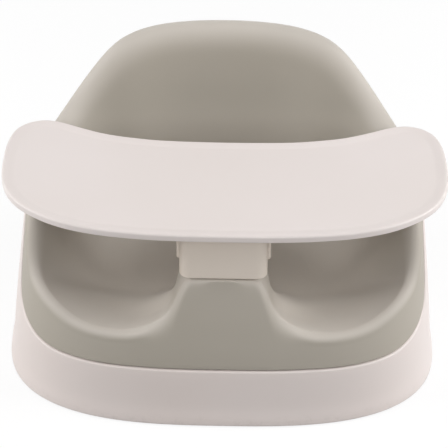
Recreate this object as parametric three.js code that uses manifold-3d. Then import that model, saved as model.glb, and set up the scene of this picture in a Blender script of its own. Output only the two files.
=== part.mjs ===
import * as THREE from "three";
import { mergeVertices } from "three/addons/utils/BufferGeometryUtils.js";
import Module from "manifold-3d";

const wasm = await Module();
wasm.setup();

// Body: all lengths are millimetres
const body_height = 242;
const foot_half_width = 187.5;
const front_reach = 132.2;
const rear_reach = 205;
const floor_gap = 0.8;
const cut_overrun = 5;

// The widest section of the body stands in front of the middle of the box, and carries its centre line
const section_y = (front_reach - rear_reach) / 2;

// Outer surface: plan sizes at each level, as shares of the sizes at the foot
const level_shares = [0, 0.022, 0.056, 0.14, 0.23, 0.37, 0.55, 0.72, 1];
const width_shares = [1, 0.999, 0.986, 0.9745, 0.963, 0.943, 0.915, 0.89, 0.847];
const front_shares = [1, 0.998, 0.981, 0.966, 0.95, 0.902, 0.818, 0.743, 0.63];
const rear_shares = [1, 0.998, 0.986, 0.972, 0.956, 0.917, 0.863, 0.815, 0.737];
const front_plan_power = 2.8;
const rear_plan_power = 2.2;

// Heights round the body, as shares of its height, against the turn from the front in degrees
const seam_turns = [0, 28, 40, 47, 54, 59, 63, 67.5, 71.5, 75, 77.5, 79.5, 82, 90, 180];
const seam_shares = [
  0.223, 0.222, 0.218, 0.216, 0.216, 0.222, 0.233, 0.254, 0.281, 0.32, 0.43, 0.55, 0.607, 0.63, 0.65,
];
const crest_turns = [
  0, 30, 38, 44, 51, 57, 62, 66, 69, 71, 73.6, 76.4, 78.6, 83, 90, 97, 108, 114, 121.8, 128, 133.5, 137.6,
  143, 150.3, 159.7, 180,
];
const crest_shares = [
  0.345, 0.345, 0.343, 0.343, 0.353, 0.376, 0.399, 0.42, 0.442, 0.467, 0.519, 0.58, 0.62, 0.661, 0.687, 0.7,
  0.713, 0.724, 0.763, 0.819, 0.885, 0.932, 0.97, 0.99, 0.998, 1,
];

// Base moulding
const skirt_level_shares = [0, 0.33, 0.67];
const wall = 3;
const rim_width = 9;
const rim_round = 2.4;
const bowl_floor = 18;
const bowl_draft = 6;
const bowl_fillet = 8;
const foot_round = 0.8;
const boss_radius = 5;

// Foam insert
const wall_level_shares = [0, 0.33, 0.66, 1];
const foam_clearance = 0.8;
const seam_gap = 1;
const foam_recess = 0.8;
const foam_edge = 1;
const foam_half_wall = 11;
const half_wall_turns = [0, 75, 110, 150, 180];
const half_wall_shares = [0.75, 0.75, 0.86, 1, 1];
const inner_drop_turns = [0, 52, 62, 72, 82, 180];
const inner_drop_shares = [0.5, 0.5, 0.6, 0.9, 1, 1];
const inner_roll_share = 3;
const seat_height = 62;
const seat_turns = [0, 40, 52, 62, 72, 90, 130, 180];
const seat_corner_shares = [0.38, 0.42, 0.5, 0.6, 0.68, 0.7, 0.61, 0.52];
const seat_flat_share = 0.55;
const corner_pull_share = 0.72;

// Pommel: it lifts the foam by a share that falls with the distance from its core
const pommel_drop = 47;
const pommel_edge = 3;
const core_half_width = 24;
const core_reach = 14;
const lift_reach = 50;
const lift_back_share = 1.3;
const lift_reach_shares = [0, 0.14, 0.21, 0.27, 0.31, 0.35, 0.44, 0.524, 0.666, 0.8, 1];
const lift_shares = [1, 1, 0.97, 0.86, 0.72, 0.576, 0.374, 0.253, 0.12, 0.05, 0];

// Tray post: the socket, the tongue and the collar share one upright axis in front of the widest section
const post_reach = 87;
const post_clearance = 0.6;
const socket_cover = 5;
const socket_wall = 2.6;
const flange_half_width = 36;
const flange_half_depth = 15.5;
const flange_thickness = 4.5;
const flange_screw_edge = 5;
const tongue_half_width = 22;
const tongue_half_depth = 10;
const tongue_length = 57.6;
const tongue_wall = 2;
const tongue_corner = 3;
const collar_gap = 0.6;
const collar_half_width = 36.2;
const collar_half_depth = 19;
const collar_corner = 9.5;
const collar_wall = 2.6;
const collar_floor = 3.4;
const collar_round = 1.2;
const ear_reach = 18;
const ear_half_depth = 14;
const ear_thickness = 3;
const ear_screw_edge = 6.7;

// Latch window and spring clip
const window_drop = 20.4;
const window_height = 11.2;
const window_half_depth = 6;
const window_corner = 0.5;
const clip_half_depth = 4.5;
const clip_thickness = 1.4;
const clip_gap = 0.8;
const clip_end_drop = 5;
const nose_clearance = 0.4;
const clip_bend_share = 0.5;
const nose_ramp_share = 0.55;

// Release buttons
const button_rise = 11.8;
const button_height = 23.6;
const button_half_depth = 8.5;
const button_corner = 4;
const button_round = 2.2;
const button_proud = 2.5;
const button_flange = 1.6;
const button_lip = 1.5;
const button_clearance = 0.35;

// Tray: outline points as shares of its half width, from the middle of the front to the middle of the back
const tray_half_width = 187.3;
const tray_overhang = 34.6;
const tray_outline_shares = [
  [0, -0.425], [0.198, -0.423], [0.385, -0.41], [0.556, -0.382], [0.7, -0.334], [0.812, -0.267],
  [0.903, -0.182], [0.962, -0.08], [0.993, 0.043], [1, 0.182], [0.995, 0.326], [0.969, 0.438],
  [0.914, 0.505], [0.838, 0.531], [0.763, 0.514], [0.662, 0.465], [0.555, 0.418], [0.427, 0.386],
  [0.267, 0.364], [0, 0.357],
];
const wing_crest_share = 0.716;
const tray_clearance = 6.73;
const lip_drop = 1;
const tray_thickness = 4;
const tray_rim = 1.2;
const lip_width = 3.2;
const lip_round = 1;
const rim_crest_inset = 1.8;
const rim_foot_inset = 9.5;
const rim_sweep = 3.5;
const tray_boss_height = 4;
const tray_boss_radius = 4.2;

// Bottom plate, feet and screws; places as shares of the half width and of the front or rear reach
const pad_height = 4;
const pad_radius = 13;
const pad_round = 1.2;
const stub_radius = 3.8;
const stub_length = 4.6;
const plate_thickness = 2.6;
const plate_clearance = 0.8;
const screw_radius = 1.75;
const screw_head_radius = 3.6;
const screw_head = 2;
const screw_round = 0.5;
const screw_gap = 0.2;
const hole_clearance = 0.35;
const part_gap = 0.35;
const plate_screw_length = 8;
const socket_screw_length = 6;
const tray_screw_length = 7.6;
const foot_place_shares = [[0.6, -0.46], [0.6, 0.635]];
const plate_screw_place_shares = [[0.4, -0.57], [0.74, 0.18], [0.32, 0.65]];

// Heights that follow from the sizes above; the tray clears the crest under its wings
const tray_lip = body_height * wing_crest_share + tray_clearance;
const pommel_top = tray_lip - pommel_drop;
const plate_bottom = pad_height + part_gap;
const plate_top = plate_bottom + plate_thickness;
const socket_bottom = bowl_floor + part_gap;
const socket_top = pommel_top - socket_cover;
const collar_bottom = pommel_top + collar_gap;
const collar_inside = collar_bottom + collar_floor;
const tongue_bottom = collar_bottom - tongue_length;
const window_top = collar_bottom - window_drop;
const window_bottom = window_top - window_height;
const button_middle = collar_bottom + button_rise + button_height / 2;
const tray_underside = tray_lip + lip_drop;
const tray_floor = tray_underside + tray_thickness;
const ear_top = tray_underside - tray_boss_height;
const ear_bottom = ear_top - ear_thickness;
const tray_hole_top = ear_bottom + tray_screw_length + screw_gap;

// The tray's front edge keeps its distance from the post
const tray_front = -tray_outline_shares[0][1] * tray_half_width;
const tray_reach = post_reach + tray_overhang - tray_front;

// Sizes that the socket and its pocket share
const socket_half_width = tongue_half_width + post_clearance + socket_wall;
const socket_half_depth = tongue_half_depth + post_clearance + socket_wall;

// Columns of the swept bodies, in degrees from the front, and steps of the curves
const foam_columns = [[0, 12, 2], [12, 30, 8], [30, 60, 6], [60, 84, 11], [84, 180, 14]];
const shell_columns = [[0, 60, 8], [60, 84, 11], [84, 180, 12]];
const round_steps = 4;
const roll_steps = 3;
const inner_steps = 10;
const edge_passes = 4;
const tray_steps = 72;
const circle_steps = 12;

// Middle of a quarter round, as a share of its radius
const soft_share = 1 - Math.SQRT1_2;

/** Smooth value of a table at a place; the curve never leaves the range of its two neighbours. */
function smooth(places, values, place) {
  const last = places.length - 1;
  if (place <= places[0]) return values[0];
  if (place >= places[last]) return values[last];
  let i = 0;
  while (places[i + 1] < place) i += 1;
  const slope = (k) => (values[k + 1] - values[k]) / (places[k + 1] - places[k]);
  const tangent = (k) => {
    if (k === 0 || k === last) return 0;
    const before = slope(k - 1);
    const after = slope(k);
    return before * after <= 0 ? 0 : (2 * before * after) / (before + after);
  };
  const span = places[i + 1] - places[i];
  const t = (place - places[i]) / span;
  const rise = t * t * (3 - 2 * t);
  return (
    values[i] * (1 - rise) +
    values[i + 1] * rise +
    span * t * (1 - t) * ((1 - t) * tangent(i) - t * tangent(i + 1))
  );
}

/** Turn from the front of the body, in degrees, without its side. */
function sideless(turn) {
  return Math.abs(THREE.MathUtils.euclideanModulo(turn + 180, 360) - 180);
}

/** Height of the base moulding's rim at a turn. */
function seamHeight(turn) {
  return body_height * smooth(seam_turns, seam_shares, sideless(turn));
}

/** Height of the foam's crest at a turn, without the pommel. */
function crestHeight(turn) {
  return body_height * smooth(crest_turns, crest_shares, sideless(turn));
}

/** Distance from the body's centre line to its outer surface at a height. */
function bodyRadius(turn, height) {
  const share = height / body_height;
  const angle = THREE.MathUtils.degToRad(turn);
  const half_width = foot_half_width * smooth(level_shares, width_shares, share);
  const is_front = Math.cos(angle) > 0;
  const reach = is_front
    ? front_reach * smooth(level_shares, front_shares, share)
    : rear_reach * smooth(level_shares, rear_shares, share);
  const power = is_front ? front_plan_power : rear_plan_power;
  const across = Math.abs(Math.sin(angle)) / half_width;
  const along = Math.abs(Math.cos(angle)) / reach;
  return (across ** power + along ** power) ** (-1 / power);
}

/** Point at a turn, a distance from the body's centre line and a height. */
function place(turn, radius, height) {
  const angle = THREE.MathUtils.degToRad(turn);
  return [radius * Math.sin(angle), -radius * Math.cos(angle), height];
}

/** Turns of all columns round the body, from a table of [from, to, steps] for one half. */
function columnTurns(table) {
  const half = table.flatMap(([from, to, steps]) =>
    Array.from({ length: steps }, (_, i) => from + ((to - from) * i) / steps),
  );
  return [...half, 180, ...half.slice(1).reverse().map((turn) => 360 - turn)];
}

/** Closed geometry from rings of points between a first and a last point. */
function ringSolid(first, rings, last) {
  const count = rings[0].length;
  const positions = [first, ...rings.flat(), last].flat();
  const index = [];
  const end = rings.length * count + 1;
  const at = (row, column) => 1 + row * count + (column % count);
  for (let c = 0; c < count; c += 1) {
    index.push(0, at(0, c), at(0, c + 1));
    index.push(end, at(rings.length - 1, c + 1), at(rings.length - 1, c));
    for (let r = 0; r + 1 < rings.length; r += 1) {
      index.push(at(r, c), at(r + 1, c), at(r + 1, c + 1));
      index.push(at(r, c), at(r + 1, c + 1), at(r, c + 1));
    }
  }
  return facingOut(positions, index);
}

/** Indexed geometry, turned so that its faces look outward. */
function facingOut(positions, index) {
  const corner = (i) => new THREE.Vector3().fromArray(positions, 3 * i);
  let volume = 0;
  for (let i = 0; i < index.length; i += 3) {
    volume += corner(index[i]).dot(corner(index[i + 1]).cross(corner(index[i + 2])));
  }
  const geometry = new THREE.BufferGeometry();
  geometry.setAttribute("position", new THREE.Float32BufferAttribute(positions, 3));
  geometry.setIndex(volume < 0 ? index.slice().reverse() : index);
  return geometry;
}

/** Body of one radial profile per turn; each profile starts and ends on the axis. */
function sweep(turns, profile) {
  const columns = turns.map((turn) => profile(turn).map(([radius, height]) => place(turn, radius, height)));
  const rings = columns[0].slice(1, -1).map((_, r) => columns.map((column) => column[r + 1]));
  return ringSolid(columns[0][0], rings, columns[0].at(-1));
}

/** Solid for joining and cutting. */
function solidOf(geometry) {
  const plain = geometry.clone();
  plain.deleteAttribute("normal");
  plain.deleteAttribute("uv");
  const merged = mergeVertices(plain);
  const mesh = new wasm.Mesh({
    numProp: 3,
    vertProperties: new Float32Array(merged.attributes.position.array),
    triVerts: new Uint32Array(merged.index.array),
  });
  return new wasm.Manifold(mesh);
}

/** Geometry of a solid after joining and cutting. */
function geometryOf(solid) {
  const mesh = solid.getMesh();
  const geometry = new THREE.BufferGeometry();
  geometry.setAttribute("position", new THREE.Float32BufferAttribute(mesh.vertProperties, 3));
  geometry.setIndex(Array.from(mesh.triVerts));
  return geometry;
}

/** A base geometry with others joined to it, and then cut by the rest. */
function carved(base, joined, cutters) {
  let solid = solidOf(base);
  for (const geometry of joined) solid = solid.add(solidOf(geometry));
  for (const geometry of cutters) solid = solid.subtract(solidOf(geometry));
  return geometryOf(solid);
}

/** Corner points of a rectangle with round corners about the origin. */
function roundedRectangle(half_x, half_y, corner) {
  const signs = [[1, 1], [-1, 1], [-1, -1], [1, -1]];
  return signs.flatMap(([side_x, side_y], quarter) =>
    Array.from({ length: round_steps + 1 }, (_, step) => {
      const angle = ((quarter + step / round_steps) * Math.PI) / 2;
      return [
        side_x * (half_x - corner) + corner * Math.cos(angle),
        side_y * (half_y - corner) + corner * Math.sin(angle),
      ];
    }),
  );
}

/** Upright block of a rounded rectangle about the origin; its bottom edge may be rounded. */
function block(half_x, half_y, corner, bottom, top, round = 0) {
  const ring = (inset, height) =>
    roundedRectangle(half_x - inset, half_y - inset, corner - inset).map(([x, y]) => [x, y, height]);
  const soft = round * soft_share;
  const rounded = round > 0 ? [ring(round, bottom), ring(soft, bottom + soft)] : [];
  return ringSolid([0, 0, bottom], [...rounded, ring(0, bottom + round), ring(0, top)], [0, 0, top]);
}

/** Block that lies along X on one side of the post; its outer edge may be rounded. */
function sideBlock(side, half_depth, half_height, corner, inner, outer, round = 0) {
  const geometry = block(half_height, half_depth, corner, -outer, -inner, round);
  geometry.rotateY((-side * Math.PI) / 2);
  geometry.translate(0, 0, button_middle);
  return geometry;
}

/** Upright pin at a place. */
function pin([x, y], radius, bottom, top) {
  const geometry = new THREE.CylinderGeometry(radius, radius, top - bottom, circle_steps);
  geometry.rotateX(Math.PI / 2);
  geometry.translate(x, y, (bottom + top) / 2);
  return geometry;
}

/** Piece turned round an upright axis from a profile of [radius, height]. */
function turned(profile) {
  const points = profile.map(([radius, height]) => new THREE.Vector2(radius, height));
  const geometry = new THREE.LatheGeometry(points, circle_steps);
  geometry.rotateX(Math.PI / 2);
  return geometryOf(solidOf(geometry));
}

/** Places on both sides of the middle, given as shares of the half width and of the reach. */
function bodyPlaces(shares) {
  return shares.flatMap(([across, along]) => {
    const x = across * foot_half_width;
    const y = along * (along < 0 ? front_reach : rear_reach);
    return [[-x, y], [x, y]];
  });
}

/** The four corners at a distance from the post's axis. */
function corners(x, y) {
  return [[-x, -y], [x, -y], [-x, y], [x, y]];
}

/** Inner side of the base moulding at a turn: its rim, its floor and their radii. */
function bowl(turn) {
  const rim = seamHeight(turn);
  const rim_radius = bodyRadius(turn, rim) - rim_width;
  return { rim, rim_radius, floor_radius: rim_radius - bowl_draft };
}

/** Profile of the bowl's side from its floor to its rim, moved outward by an offset. */
function bowlSide(turn, floor, offset, top) {
  const { rim_radius, floor_radius } = bowl(turn);
  const soft = bowl_fillet * soft_share;
  const start = floor + bowl_fillet;
  const start_radius = THREE.MathUtils.mapLinear(start, start, top, floor_radius, rim_radius);
  return [
    [floor_radius + offset - bowl_fillet, floor],
    [floor_radius + offset - soft, floor + soft],
    [start_radius + offset, start],
    [rim_radius + offset, top],
  ];
}

/** Profile of the base moulding: bowl floor, bowl side, rim, outer skirt, foot and the hollow behind. */
function shellProfile(turn) {
  const { rim, rim_radius } = bowl(turn);
  const outer = (height) => bodyRadius(turn, height);
  const skirt_top = rim - rim_round;
  const flare_top = body_height * level_shares[2];
  const skirt_steps = skirt_level_shares.map((share) => skirt_top + (flare_top - skirt_top) * share);
  const skirt = [...skirt_steps, flare_top, (flare_top + floor_gap) / 2];
  const soft = rim_round * soft_share;
  const hollow = rim - rim_round - wall / 2;
  return [
    [0, bowl_floor],
    ...bowlSide(turn, bowl_floor, 0, rim - rim_round),
    [rim_radius + soft, rim - soft],
    [rim_radius + rim_round, rim],
    [outer(rim) - rim_round, rim],
    [outer(rim) - soft, rim - soft],
    ...skirt.map((height) => [outer(height), height]),
    [outer(floor_gap), floor_gap + foot_round],
    [outer(floor_gap) - foot_round, floor_gap],
    [outer(floor_gap) - wall, floor_gap],
    ...skirt.slice(1).reverse().map((height) => [outer(height) - wall, height]),
    [outer(hollow) - wall, hollow],
    [rim_radius + wall, hollow],
    ...bowlSide(turn, bowl_floor - wall, wall, hollow - wall).reverse().slice(1),
    [0, bowl_floor - wall],
  ];
}

/** Share of the way to the pommel's top that the foam is lifted at a place. */
function pommelLift(turn, radius) {
  const [x, y] = place(turn, radius, 0);
  const across = Math.max(0, Math.abs(x) - core_half_width);
  const behind = Math.max(0, y + post_reach - core_reach) * lift_back_share;
  return smooth(lift_reach_shares, lift_shares, Math.hypot(across, behind) / lift_reach);
}

/** Outer edge of the foam's crest at a turn: its height, its rounding and the radius of its shoulder. */
function crestEdge(turn, half_wall) {
  const low = crestHeight(turn);
  let top = low;
  let edge = half_wall;
  let radius = 0;
  for (let pass = 0; pass < edge_passes; pass += 1) {
    radius = bodyRadius(turn, top - edge) - foam_recess;
    const lift = pommelLift(turn, radius);
    top = THREE.MathUtils.lerp(low, pommel_top, lift);
    edge = THREE.MathUtils.lerp(half_wall, pommel_edge, lift);
  }
  return { top, edge, radius };
}

/** Profile of the foam insert: part in the bowl, ledge over the rim, wall, crest and seat. */
function foamProfile(turn) {
  const { rim, rim_radius } = bowl(turn);
  const outer = (height) => bodyRadius(turn, height) - foam_recess;
  const raised = ([radius, height]) => [
    radius,
    THREE.MathUtils.lerp(height, pommel_top, pommelLift(turn, radius)),
  ];
  const ledge = rim + seam_gap;
  const wall_start = ledge + foam_edge;
  const half_wall = foam_half_wall * smooth(half_wall_turns, half_wall_shares, sideless(turn));
  const { top, edge, radius } = crestEdge(turn, half_wall);
  const shoulder = top - edge;
  const outside = wall_level_shares.map((share) => wall_start + (shoulder - wall_start) * share);
  const outer_round = Array.from({ length: round_steps - 1 }, (_, i) => {
    const lean = ((i + 1) / round_steps) * (Math.PI / 2);
    return [radius - edge * (1 - Math.cos(lean)), top - edge * (1 - Math.sin(lean))];
  });
  const low = crestHeight(turn);
  const crest_radius = radius - half_wall;
  const corner = bodyRadius(turn, 0) * smooth(seat_turns, seat_corner_shares, sideless(turn));
  const steepness = smooth(inner_drop_turns, inner_drop_shares, sideless(turn));
  const slope = (steepness * (low - seat_height)) / (crest_radius - corner);
  const roll_height = half_wall * inner_roll_share;
  const roll_end = Math.atan(slope / inner_roll_share);
  const roll = Array.from({ length: roll_steps }, (_, i) => {
    const lean = (roll_end * (i + 1)) / roll_steps;
    return [crest_radius - half_wall * Math.sin(lean), low - roll_height * (1 - Math.cos(lean))];
  });
  const [start_radius, start_height] = roll[roll_steps - 1];
  const pull = (start_radius - corner) * corner_pull_share;
  const flat = corner * seat_flat_share;
  const curve = new THREE.CubicBezierCurve(
    new THREE.Vector2(start_radius, start_height),
    new THREE.Vector2(start_radius - pull, start_height - pull * slope),
    new THREE.Vector2(flat + (corner - flat) * corner_pull_share, seat_height),
    new THREE.Vector2(flat, seat_height),
  );
  const inside = curve.getPoints(inner_steps).slice(1).map(({ x, y }) => raised([x, y]));
  return [
    [0, socket_bottom],
    ...bowlSide(turn, socket_bottom, -foam_clearance, rim),
    [rim_radius - foam_clearance, ledge],
    [outer(ledge) - foam_edge, ledge],
    ...outside.map((height) => [outer(height), height]),
    ...outer_round,
    raised([crest_radius, low]),
    ...roll.map(raised),
    ...inside,
    [flat / 2, seat_height],
    [0, seat_height],
  ];
}

/** Base moulding with its screw bosses and the holes for the socket screws. */
function baseShell() {
  const boss_bottom = plate_top + part_gap;
  const boss_top = bowl_floor - wall / 2;
  const floor_bottom = bowl_floor - wall;
  const hole = screw_radius + hole_clearance;
  const bosses = bodyPlaces(plate_screw_place_shares);
  const sockets = socketScrewPlaces().map(([x, y]) => [x, y - post_reach]);
  return carved(
    sweep(columnTurns(shell_columns), shellProfile),
    bosses.map((where) => pin(where, boss_radius, boss_bottom, boss_top)),
    [
      ...bosses.map((where) => pin(where, hole, boss_bottom - cut_overrun, boss_top)),
      ...sockets.map((where) => pin(where, hole, floor_bottom - cut_overrun, bowl_floor + cut_overrun)),
    ],
  );
}

/** Foam insert with the pocket for the tray socket and the slot for the tongue. */
function foamInsert() {
  const clear = foam_clearance;
  const cutters = [
    block(socket_half_width + clear, socket_half_depth + clear, tongue_corner, 0, socket_top + clear),
    block(
      flange_half_width + clear,
      flange_half_depth + clear,
      tongue_corner,
      0,
      socket_bottom + flange_thickness + clear,
    ),
    block(
      tongue_half_width + clear,
      tongue_half_depth + clear,
      tongue_corner,
      socket_top,
      pommel_top + cut_overrun,
    ),
  ];
  cutters.forEach((cutter) => cutter.translate(0, -post_reach, 0));
  return carved(sweep(columnTurns(foam_columns), foamProfile), [], cutters);
}

/** Places of the screws that hold the socket, from the post's axis. */
function socketScrewPlaces() {
  return corners(flange_half_width - flange_screw_edge, flange_half_depth - flange_screw_edge);
}

/** Socket: an upright tube on a flange, with a latch window on each side. */
function traySocket() {
  const bottom = socket_bottom;
  const hole_top = bowl_floor - wall + socket_screw_length + screw_gap;
  return carved(
    block(socket_half_width, socket_half_depth, tongue_corner, bottom, socket_top),
    [block(flange_half_width, flange_half_depth, tongue_corner, bottom, bottom + flange_thickness)],
    [
      block(
        socket_half_width - socket_wall,
        socket_half_depth - socket_wall,
        tongue_corner,
        bottom - cut_overrun,
        socket_top + cut_overrun,
      ),
      block(socket_half_width + cut_overrun, window_half_depth, window_corner, window_bottom, window_top),
      ...socketScrewPlaces().map((where) =>
        pin(where, screw_radius + hole_clearance, bottom - cut_overrun, hole_top),
      ),
    ],
  );
}

/** Plate that closes the underside, with holes for the feet and the screws. */
function bottomPlate() {
  const rim = (turn) => bodyRadius(turn, plate_top) - wall - plate_clearance;
  const plate = sweep(columnTurns(shell_columns), (turn) => [
    [0, plate_bottom],
    [rim(turn), plate_bottom],
    [rim(turn), plate_top],
    [0, plate_top],
  ]);
  const drill = (where, radius) =>
    pin(where, radius + hole_clearance, plate_bottom - cut_overrun, plate_top + cut_overrun);
  return carved(plate, [], [
    ...bodyPlaces(plate_screw_place_shares).map((where) => drill(where, screw_radius)),
    ...bodyPlaces(foot_place_shares).map((where) => drill(where, stub_radius)),
  ]);
}

/** Rubber foot: a pad with a stub for the plate. */
function rubberFoot() {
  return turned([
    [0, 0],
    [pad_radius - pad_round, 0],
    [pad_radius, pad_round],
    [pad_radius, pad_height],
    [stub_radius, pad_height],
    [stub_radius, pad_height + stub_length],
    [0, pad_height + stub_length],
  ]);
}

/** Pan-head screw that points upward from the face that its head seats on. */
function screw(length) {
  return turned([
    [0, -screw_head],
    [screw_head_radius - screw_round, -screw_head],
    [screw_head_radius, screw_round - screw_head],
    [screw_head_radius, 0],
    [screw_radius, 0],
    [screw_radius, length],
    [0, length],
  ]);
}

/** Outline of the tray moved inward by an inset. */
function trayOutline(inset) {
  const half = tray_outline_shares.map(([x, y]) => [x * tray_half_width, y * tray_half_width]);
  const mirrored = half.slice(1, -1).reverse().map(([x, y]) => [-x, y]);
  const points = [...half, ...mirrored].map(([x, y]) => new THREE.Vector3(x, y, 0));
  const curve = new THREE.CatmullRomCurve3(points, true);
  return Array.from({ length: tray_steps }, (_, i) => {
    const point = curve.getPointAt(i / tray_steps);
    const along = curve.getTangentAt(i / tray_steps);
    return [point.x - along.y * inset, point.y + along.x * inset];
  });
}

/** Tray: a shallow dish with a raised rim and a turned-down lip, and four bosses under it. */
function trayTop() {
  const crest = tray_floor + tray_rim;
  const ring = (inset, height) => trayOutline(inset).map(([x, y]) => [x, y, height]);
  const rings = [
    ring(lip_width + lip_round, tray_underside),
    ring(lip_width, tray_lip),
    ring(lip_round, tray_lip),
    ring(0, tray_lip + lip_round),
    ring(0, crest - 2 * lip_round),
    ring(lip_round / 2, crest - lip_round / 2),
    ring(rim_crest_inset, crest),
    ring(lip_width, crest - lip_round / 4),
    ring(rim_foot_inset, tray_floor + lip_round / 4),
    ring(rim_foot_inset + rim_sweep, tray_floor),
  ];
  const dish = ringSolid([0, 0, tray_underside], rings, [0, 0, tray_floor]);
  const places = trayScrewPlaces().map(([x, y]) => [x, y + tray_reach - post_reach]);
  return carved(
    dish,
    places.map((where) => pin(where, tray_boss_radius, ear_top + part_gap, tray_underside + lip_round)),
    places.map((where) => pin(where, screw_radius + hole_clearance, ear_top - cut_overrun, tray_hole_top)),
  );
}

/** Places of the screws that hold the tray, from the post's axis. */
function trayScrewPlaces() {
  return corners(collar_half_width + ear_reach - ear_screw_edge, ear_half_depth - ear_screw_edge);
}

/** Openings of the collar for the two buttons. */
function buttonOpenings() {
  return [-1, 1].map((side) =>
    sideBlock(
      side,
      button_half_depth + button_clearance,
      button_height / 2 + button_clearance,
      button_corner,
      collar_half_width - collar_wall - cut_overrun,
      collar_half_width + cut_overrun,
    ),
  );
}

/** Stem: a collar open to the tray, a hollow tongue under it and an ear on each side. */
function trayStem() {
  const collar_top = tray_underside - part_gap;
  const ears = block(collar_half_width + ear_reach, ear_half_depth, tongue_corner, ear_bottom, ear_top);
  const tongue = block(
    tongue_half_width,
    tongue_half_depth,
    tongue_corner,
    tongue_bottom,
    collar_inside,
    collar_round,
  );
  const collar_hollow = block(
    collar_half_width - collar_wall,
    collar_half_depth - collar_wall,
    collar_corner - collar_wall,
    collar_inside,
    collar_top + cut_overrun,
  );
  const tongue_hollow = block(
    tongue_half_width - tongue_wall,
    tongue_half_depth - tongue_wall,
    tongue_corner,
    tongue_bottom + tongue_wall,
    collar_inside + cut_overrun,
  );
  const windows = block(
    tongue_half_width + cut_overrun,
    window_half_depth,
    window_corner,
    window_bottom - clip_gap,
    window_top + clip_gap,
  );
  const holes = trayScrewPlaces().map((where) =>
    pin(where, screw_radius + hole_clearance, ear_bottom - cut_overrun, ear_top + cut_overrun),
  );
  return carved(
    block(collar_half_width, collar_half_depth, collar_corner, collar_bottom, collar_top, collar_round),
    [ears, tongue],
    [collar_hollow, tongue_hollow, windows, ...buttonOpenings(), ...holes],
  );
}

/** Release button: a pad that stands out of the collar and a flange inside it. */
function releaseButton(side) {
  const flange_outer = collar_half_width - collar_wall - button_clearance;
  const pad = sideBlock(
    side,
    button_half_depth,
    button_height / 2,
    button_corner,
    flange_outer - button_flange / 2,
    collar_half_width + button_proud,
    button_round,
  );
  const flange = sideBlock(
    side,
    button_half_depth + button_lip,
    button_height / 2 + button_lip,
    button_corner,
    flange_outer - button_flange,
    flange_outer,
  );
  return carved(pad, [flange], []);
}

/** Right half of the clip's edge line: up the outer side and down the inner one. */
function clipHalf() {
  const leg = tongue_half_width - tongue_wall - clip_gap;
  const bottom = tongue_bottom + tongue_wall + clip_gap;
  const bend = leg * clip_bend_share;
  const inner_bend = bend - clip_thickness;
  const nose_tip = socket_half_width - nose_clearance;
  const nose_top = window_top - nose_clearance;
  const nose_bottom = window_bottom + nose_clearance;
  const nose_face = THREE.MathUtils.lerp(nose_bottom, nose_top, nose_ramp_share);
  const end = collar_half_width - collar_wall - button_clearance - button_flange - nose_clearance;
  const end_top = button_middle + button_height / 2 - clip_end_drop;
  const knee = collar_inside + clip_gap;
  const shoulder = knee + end - leg;
  const mitre = clip_thickness * (Math.SQRT2 - 1);
  return [
    [0, bottom],
    [leg - bend, bottom],
    [leg - bend * soft_share, bottom + bend * soft_share],
    [leg, bottom + bend],
    [leg, nose_bottom],
    [nose_tip, nose_face],
    [nose_tip, nose_top],
    [leg, nose_top],
    [leg, knee],
    [end, shoulder],
    [end, end_top],
    [end - clip_thickness, end_top],
    [end - clip_thickness, shoulder + mitre],
    [leg - clip_thickness, knee + mitre],
    [leg - clip_thickness, bottom + bend],
    [
      leg - clip_thickness - inner_bend * soft_share,
      bottom + clip_thickness + inner_bend * soft_share,
    ],
    [leg - bend, bottom + clip_thickness],
    [0, bottom + clip_thickness],
  ];
}

/** Spring clip: a band bent to a U, with a latch nose on each leg and its ends behind the buttons. */
function latchClip() {
  const right = clipHalf();
  const left = right.slice(1, -1).reverse().map(([x, z]) => [-x, z]);
  const outline = new THREE.Shape([...right, ...left].map(([x, z]) => new THREE.Vector2(x, z)));
  const band = new THREE.ExtrudeGeometry(outline, { depth: 2 * clip_half_depth, bevelEnabled: false });
  band.rotateX(Math.PI / 2);
  band.translate(0, clip_half_depth, 0);
  return geometryOf(solidOf(band));
}

/** Material of a moulded plastic, foam, rubber or metal piece. */
function finish(color, roughness, metalness = 0) {
  return new THREE.MeshStandardMaterial({ color, roughness, metalness });
}

const shell_colour = 0xe2d7d2;
const tray_colour = 0xe3d9d4;
const foam_colour = 0xa5a194;
const hidden_plastic_colour = 0xd8cfc9;
const rubber_colour = 0x55534f;
const steel_colour = 0xb9bbbd;

const group = new THREE.Group();

// The body's centre line stands on the widest section, and the post and the tray in front of it
const body = new THREE.Group();
body.position.y = section_y;
group.add(body);
const post = new THREE.Group();
post.position.y = -post_reach;
body.add(post);

/** Adds one named piece to its parent at a place. */
function add(parent, name, geometry, material, [x, y, z] = [0, 0, 0]) {
  geometry.computeVertexNormals();
  const mesh = new THREE.Mesh(geometry, material);
  mesh.name = name;
  mesh.position.set(x, y, z);
  parent.add(mesh);
}

/** Adds a numbered copy of a piece at each place, at one height. */
function addEach(parent, name, places, height, build, material) {
  places.forEach(([x, y], i) => add(parent, `${name}_${i + 1}`, build(), material(), [x, y, height]));
}

const shell_plastic = () => finish(shell_colour, 0.45);
const hidden_plastic = () => finish(hidden_plastic_colour, 0.5);
const tray_plastic = () => finish(tray_colour, 0.4);
const foam = () => finish(foam_colour, 0.6);
const rubber = () => finish(rubber_colour, 0.9);
const steel = () => finish(steel_colour, 0.35, 1);

const plate_seat = plate_bottom - screw_gap;
const socket_seat = bowl_floor - wall - screw_gap;
const tray_seat = ear_bottom - screw_gap;
const feet = bodyPlaces(foot_place_shares);
const plate_screws = bodyPlaces(plate_screw_place_shares);

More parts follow.
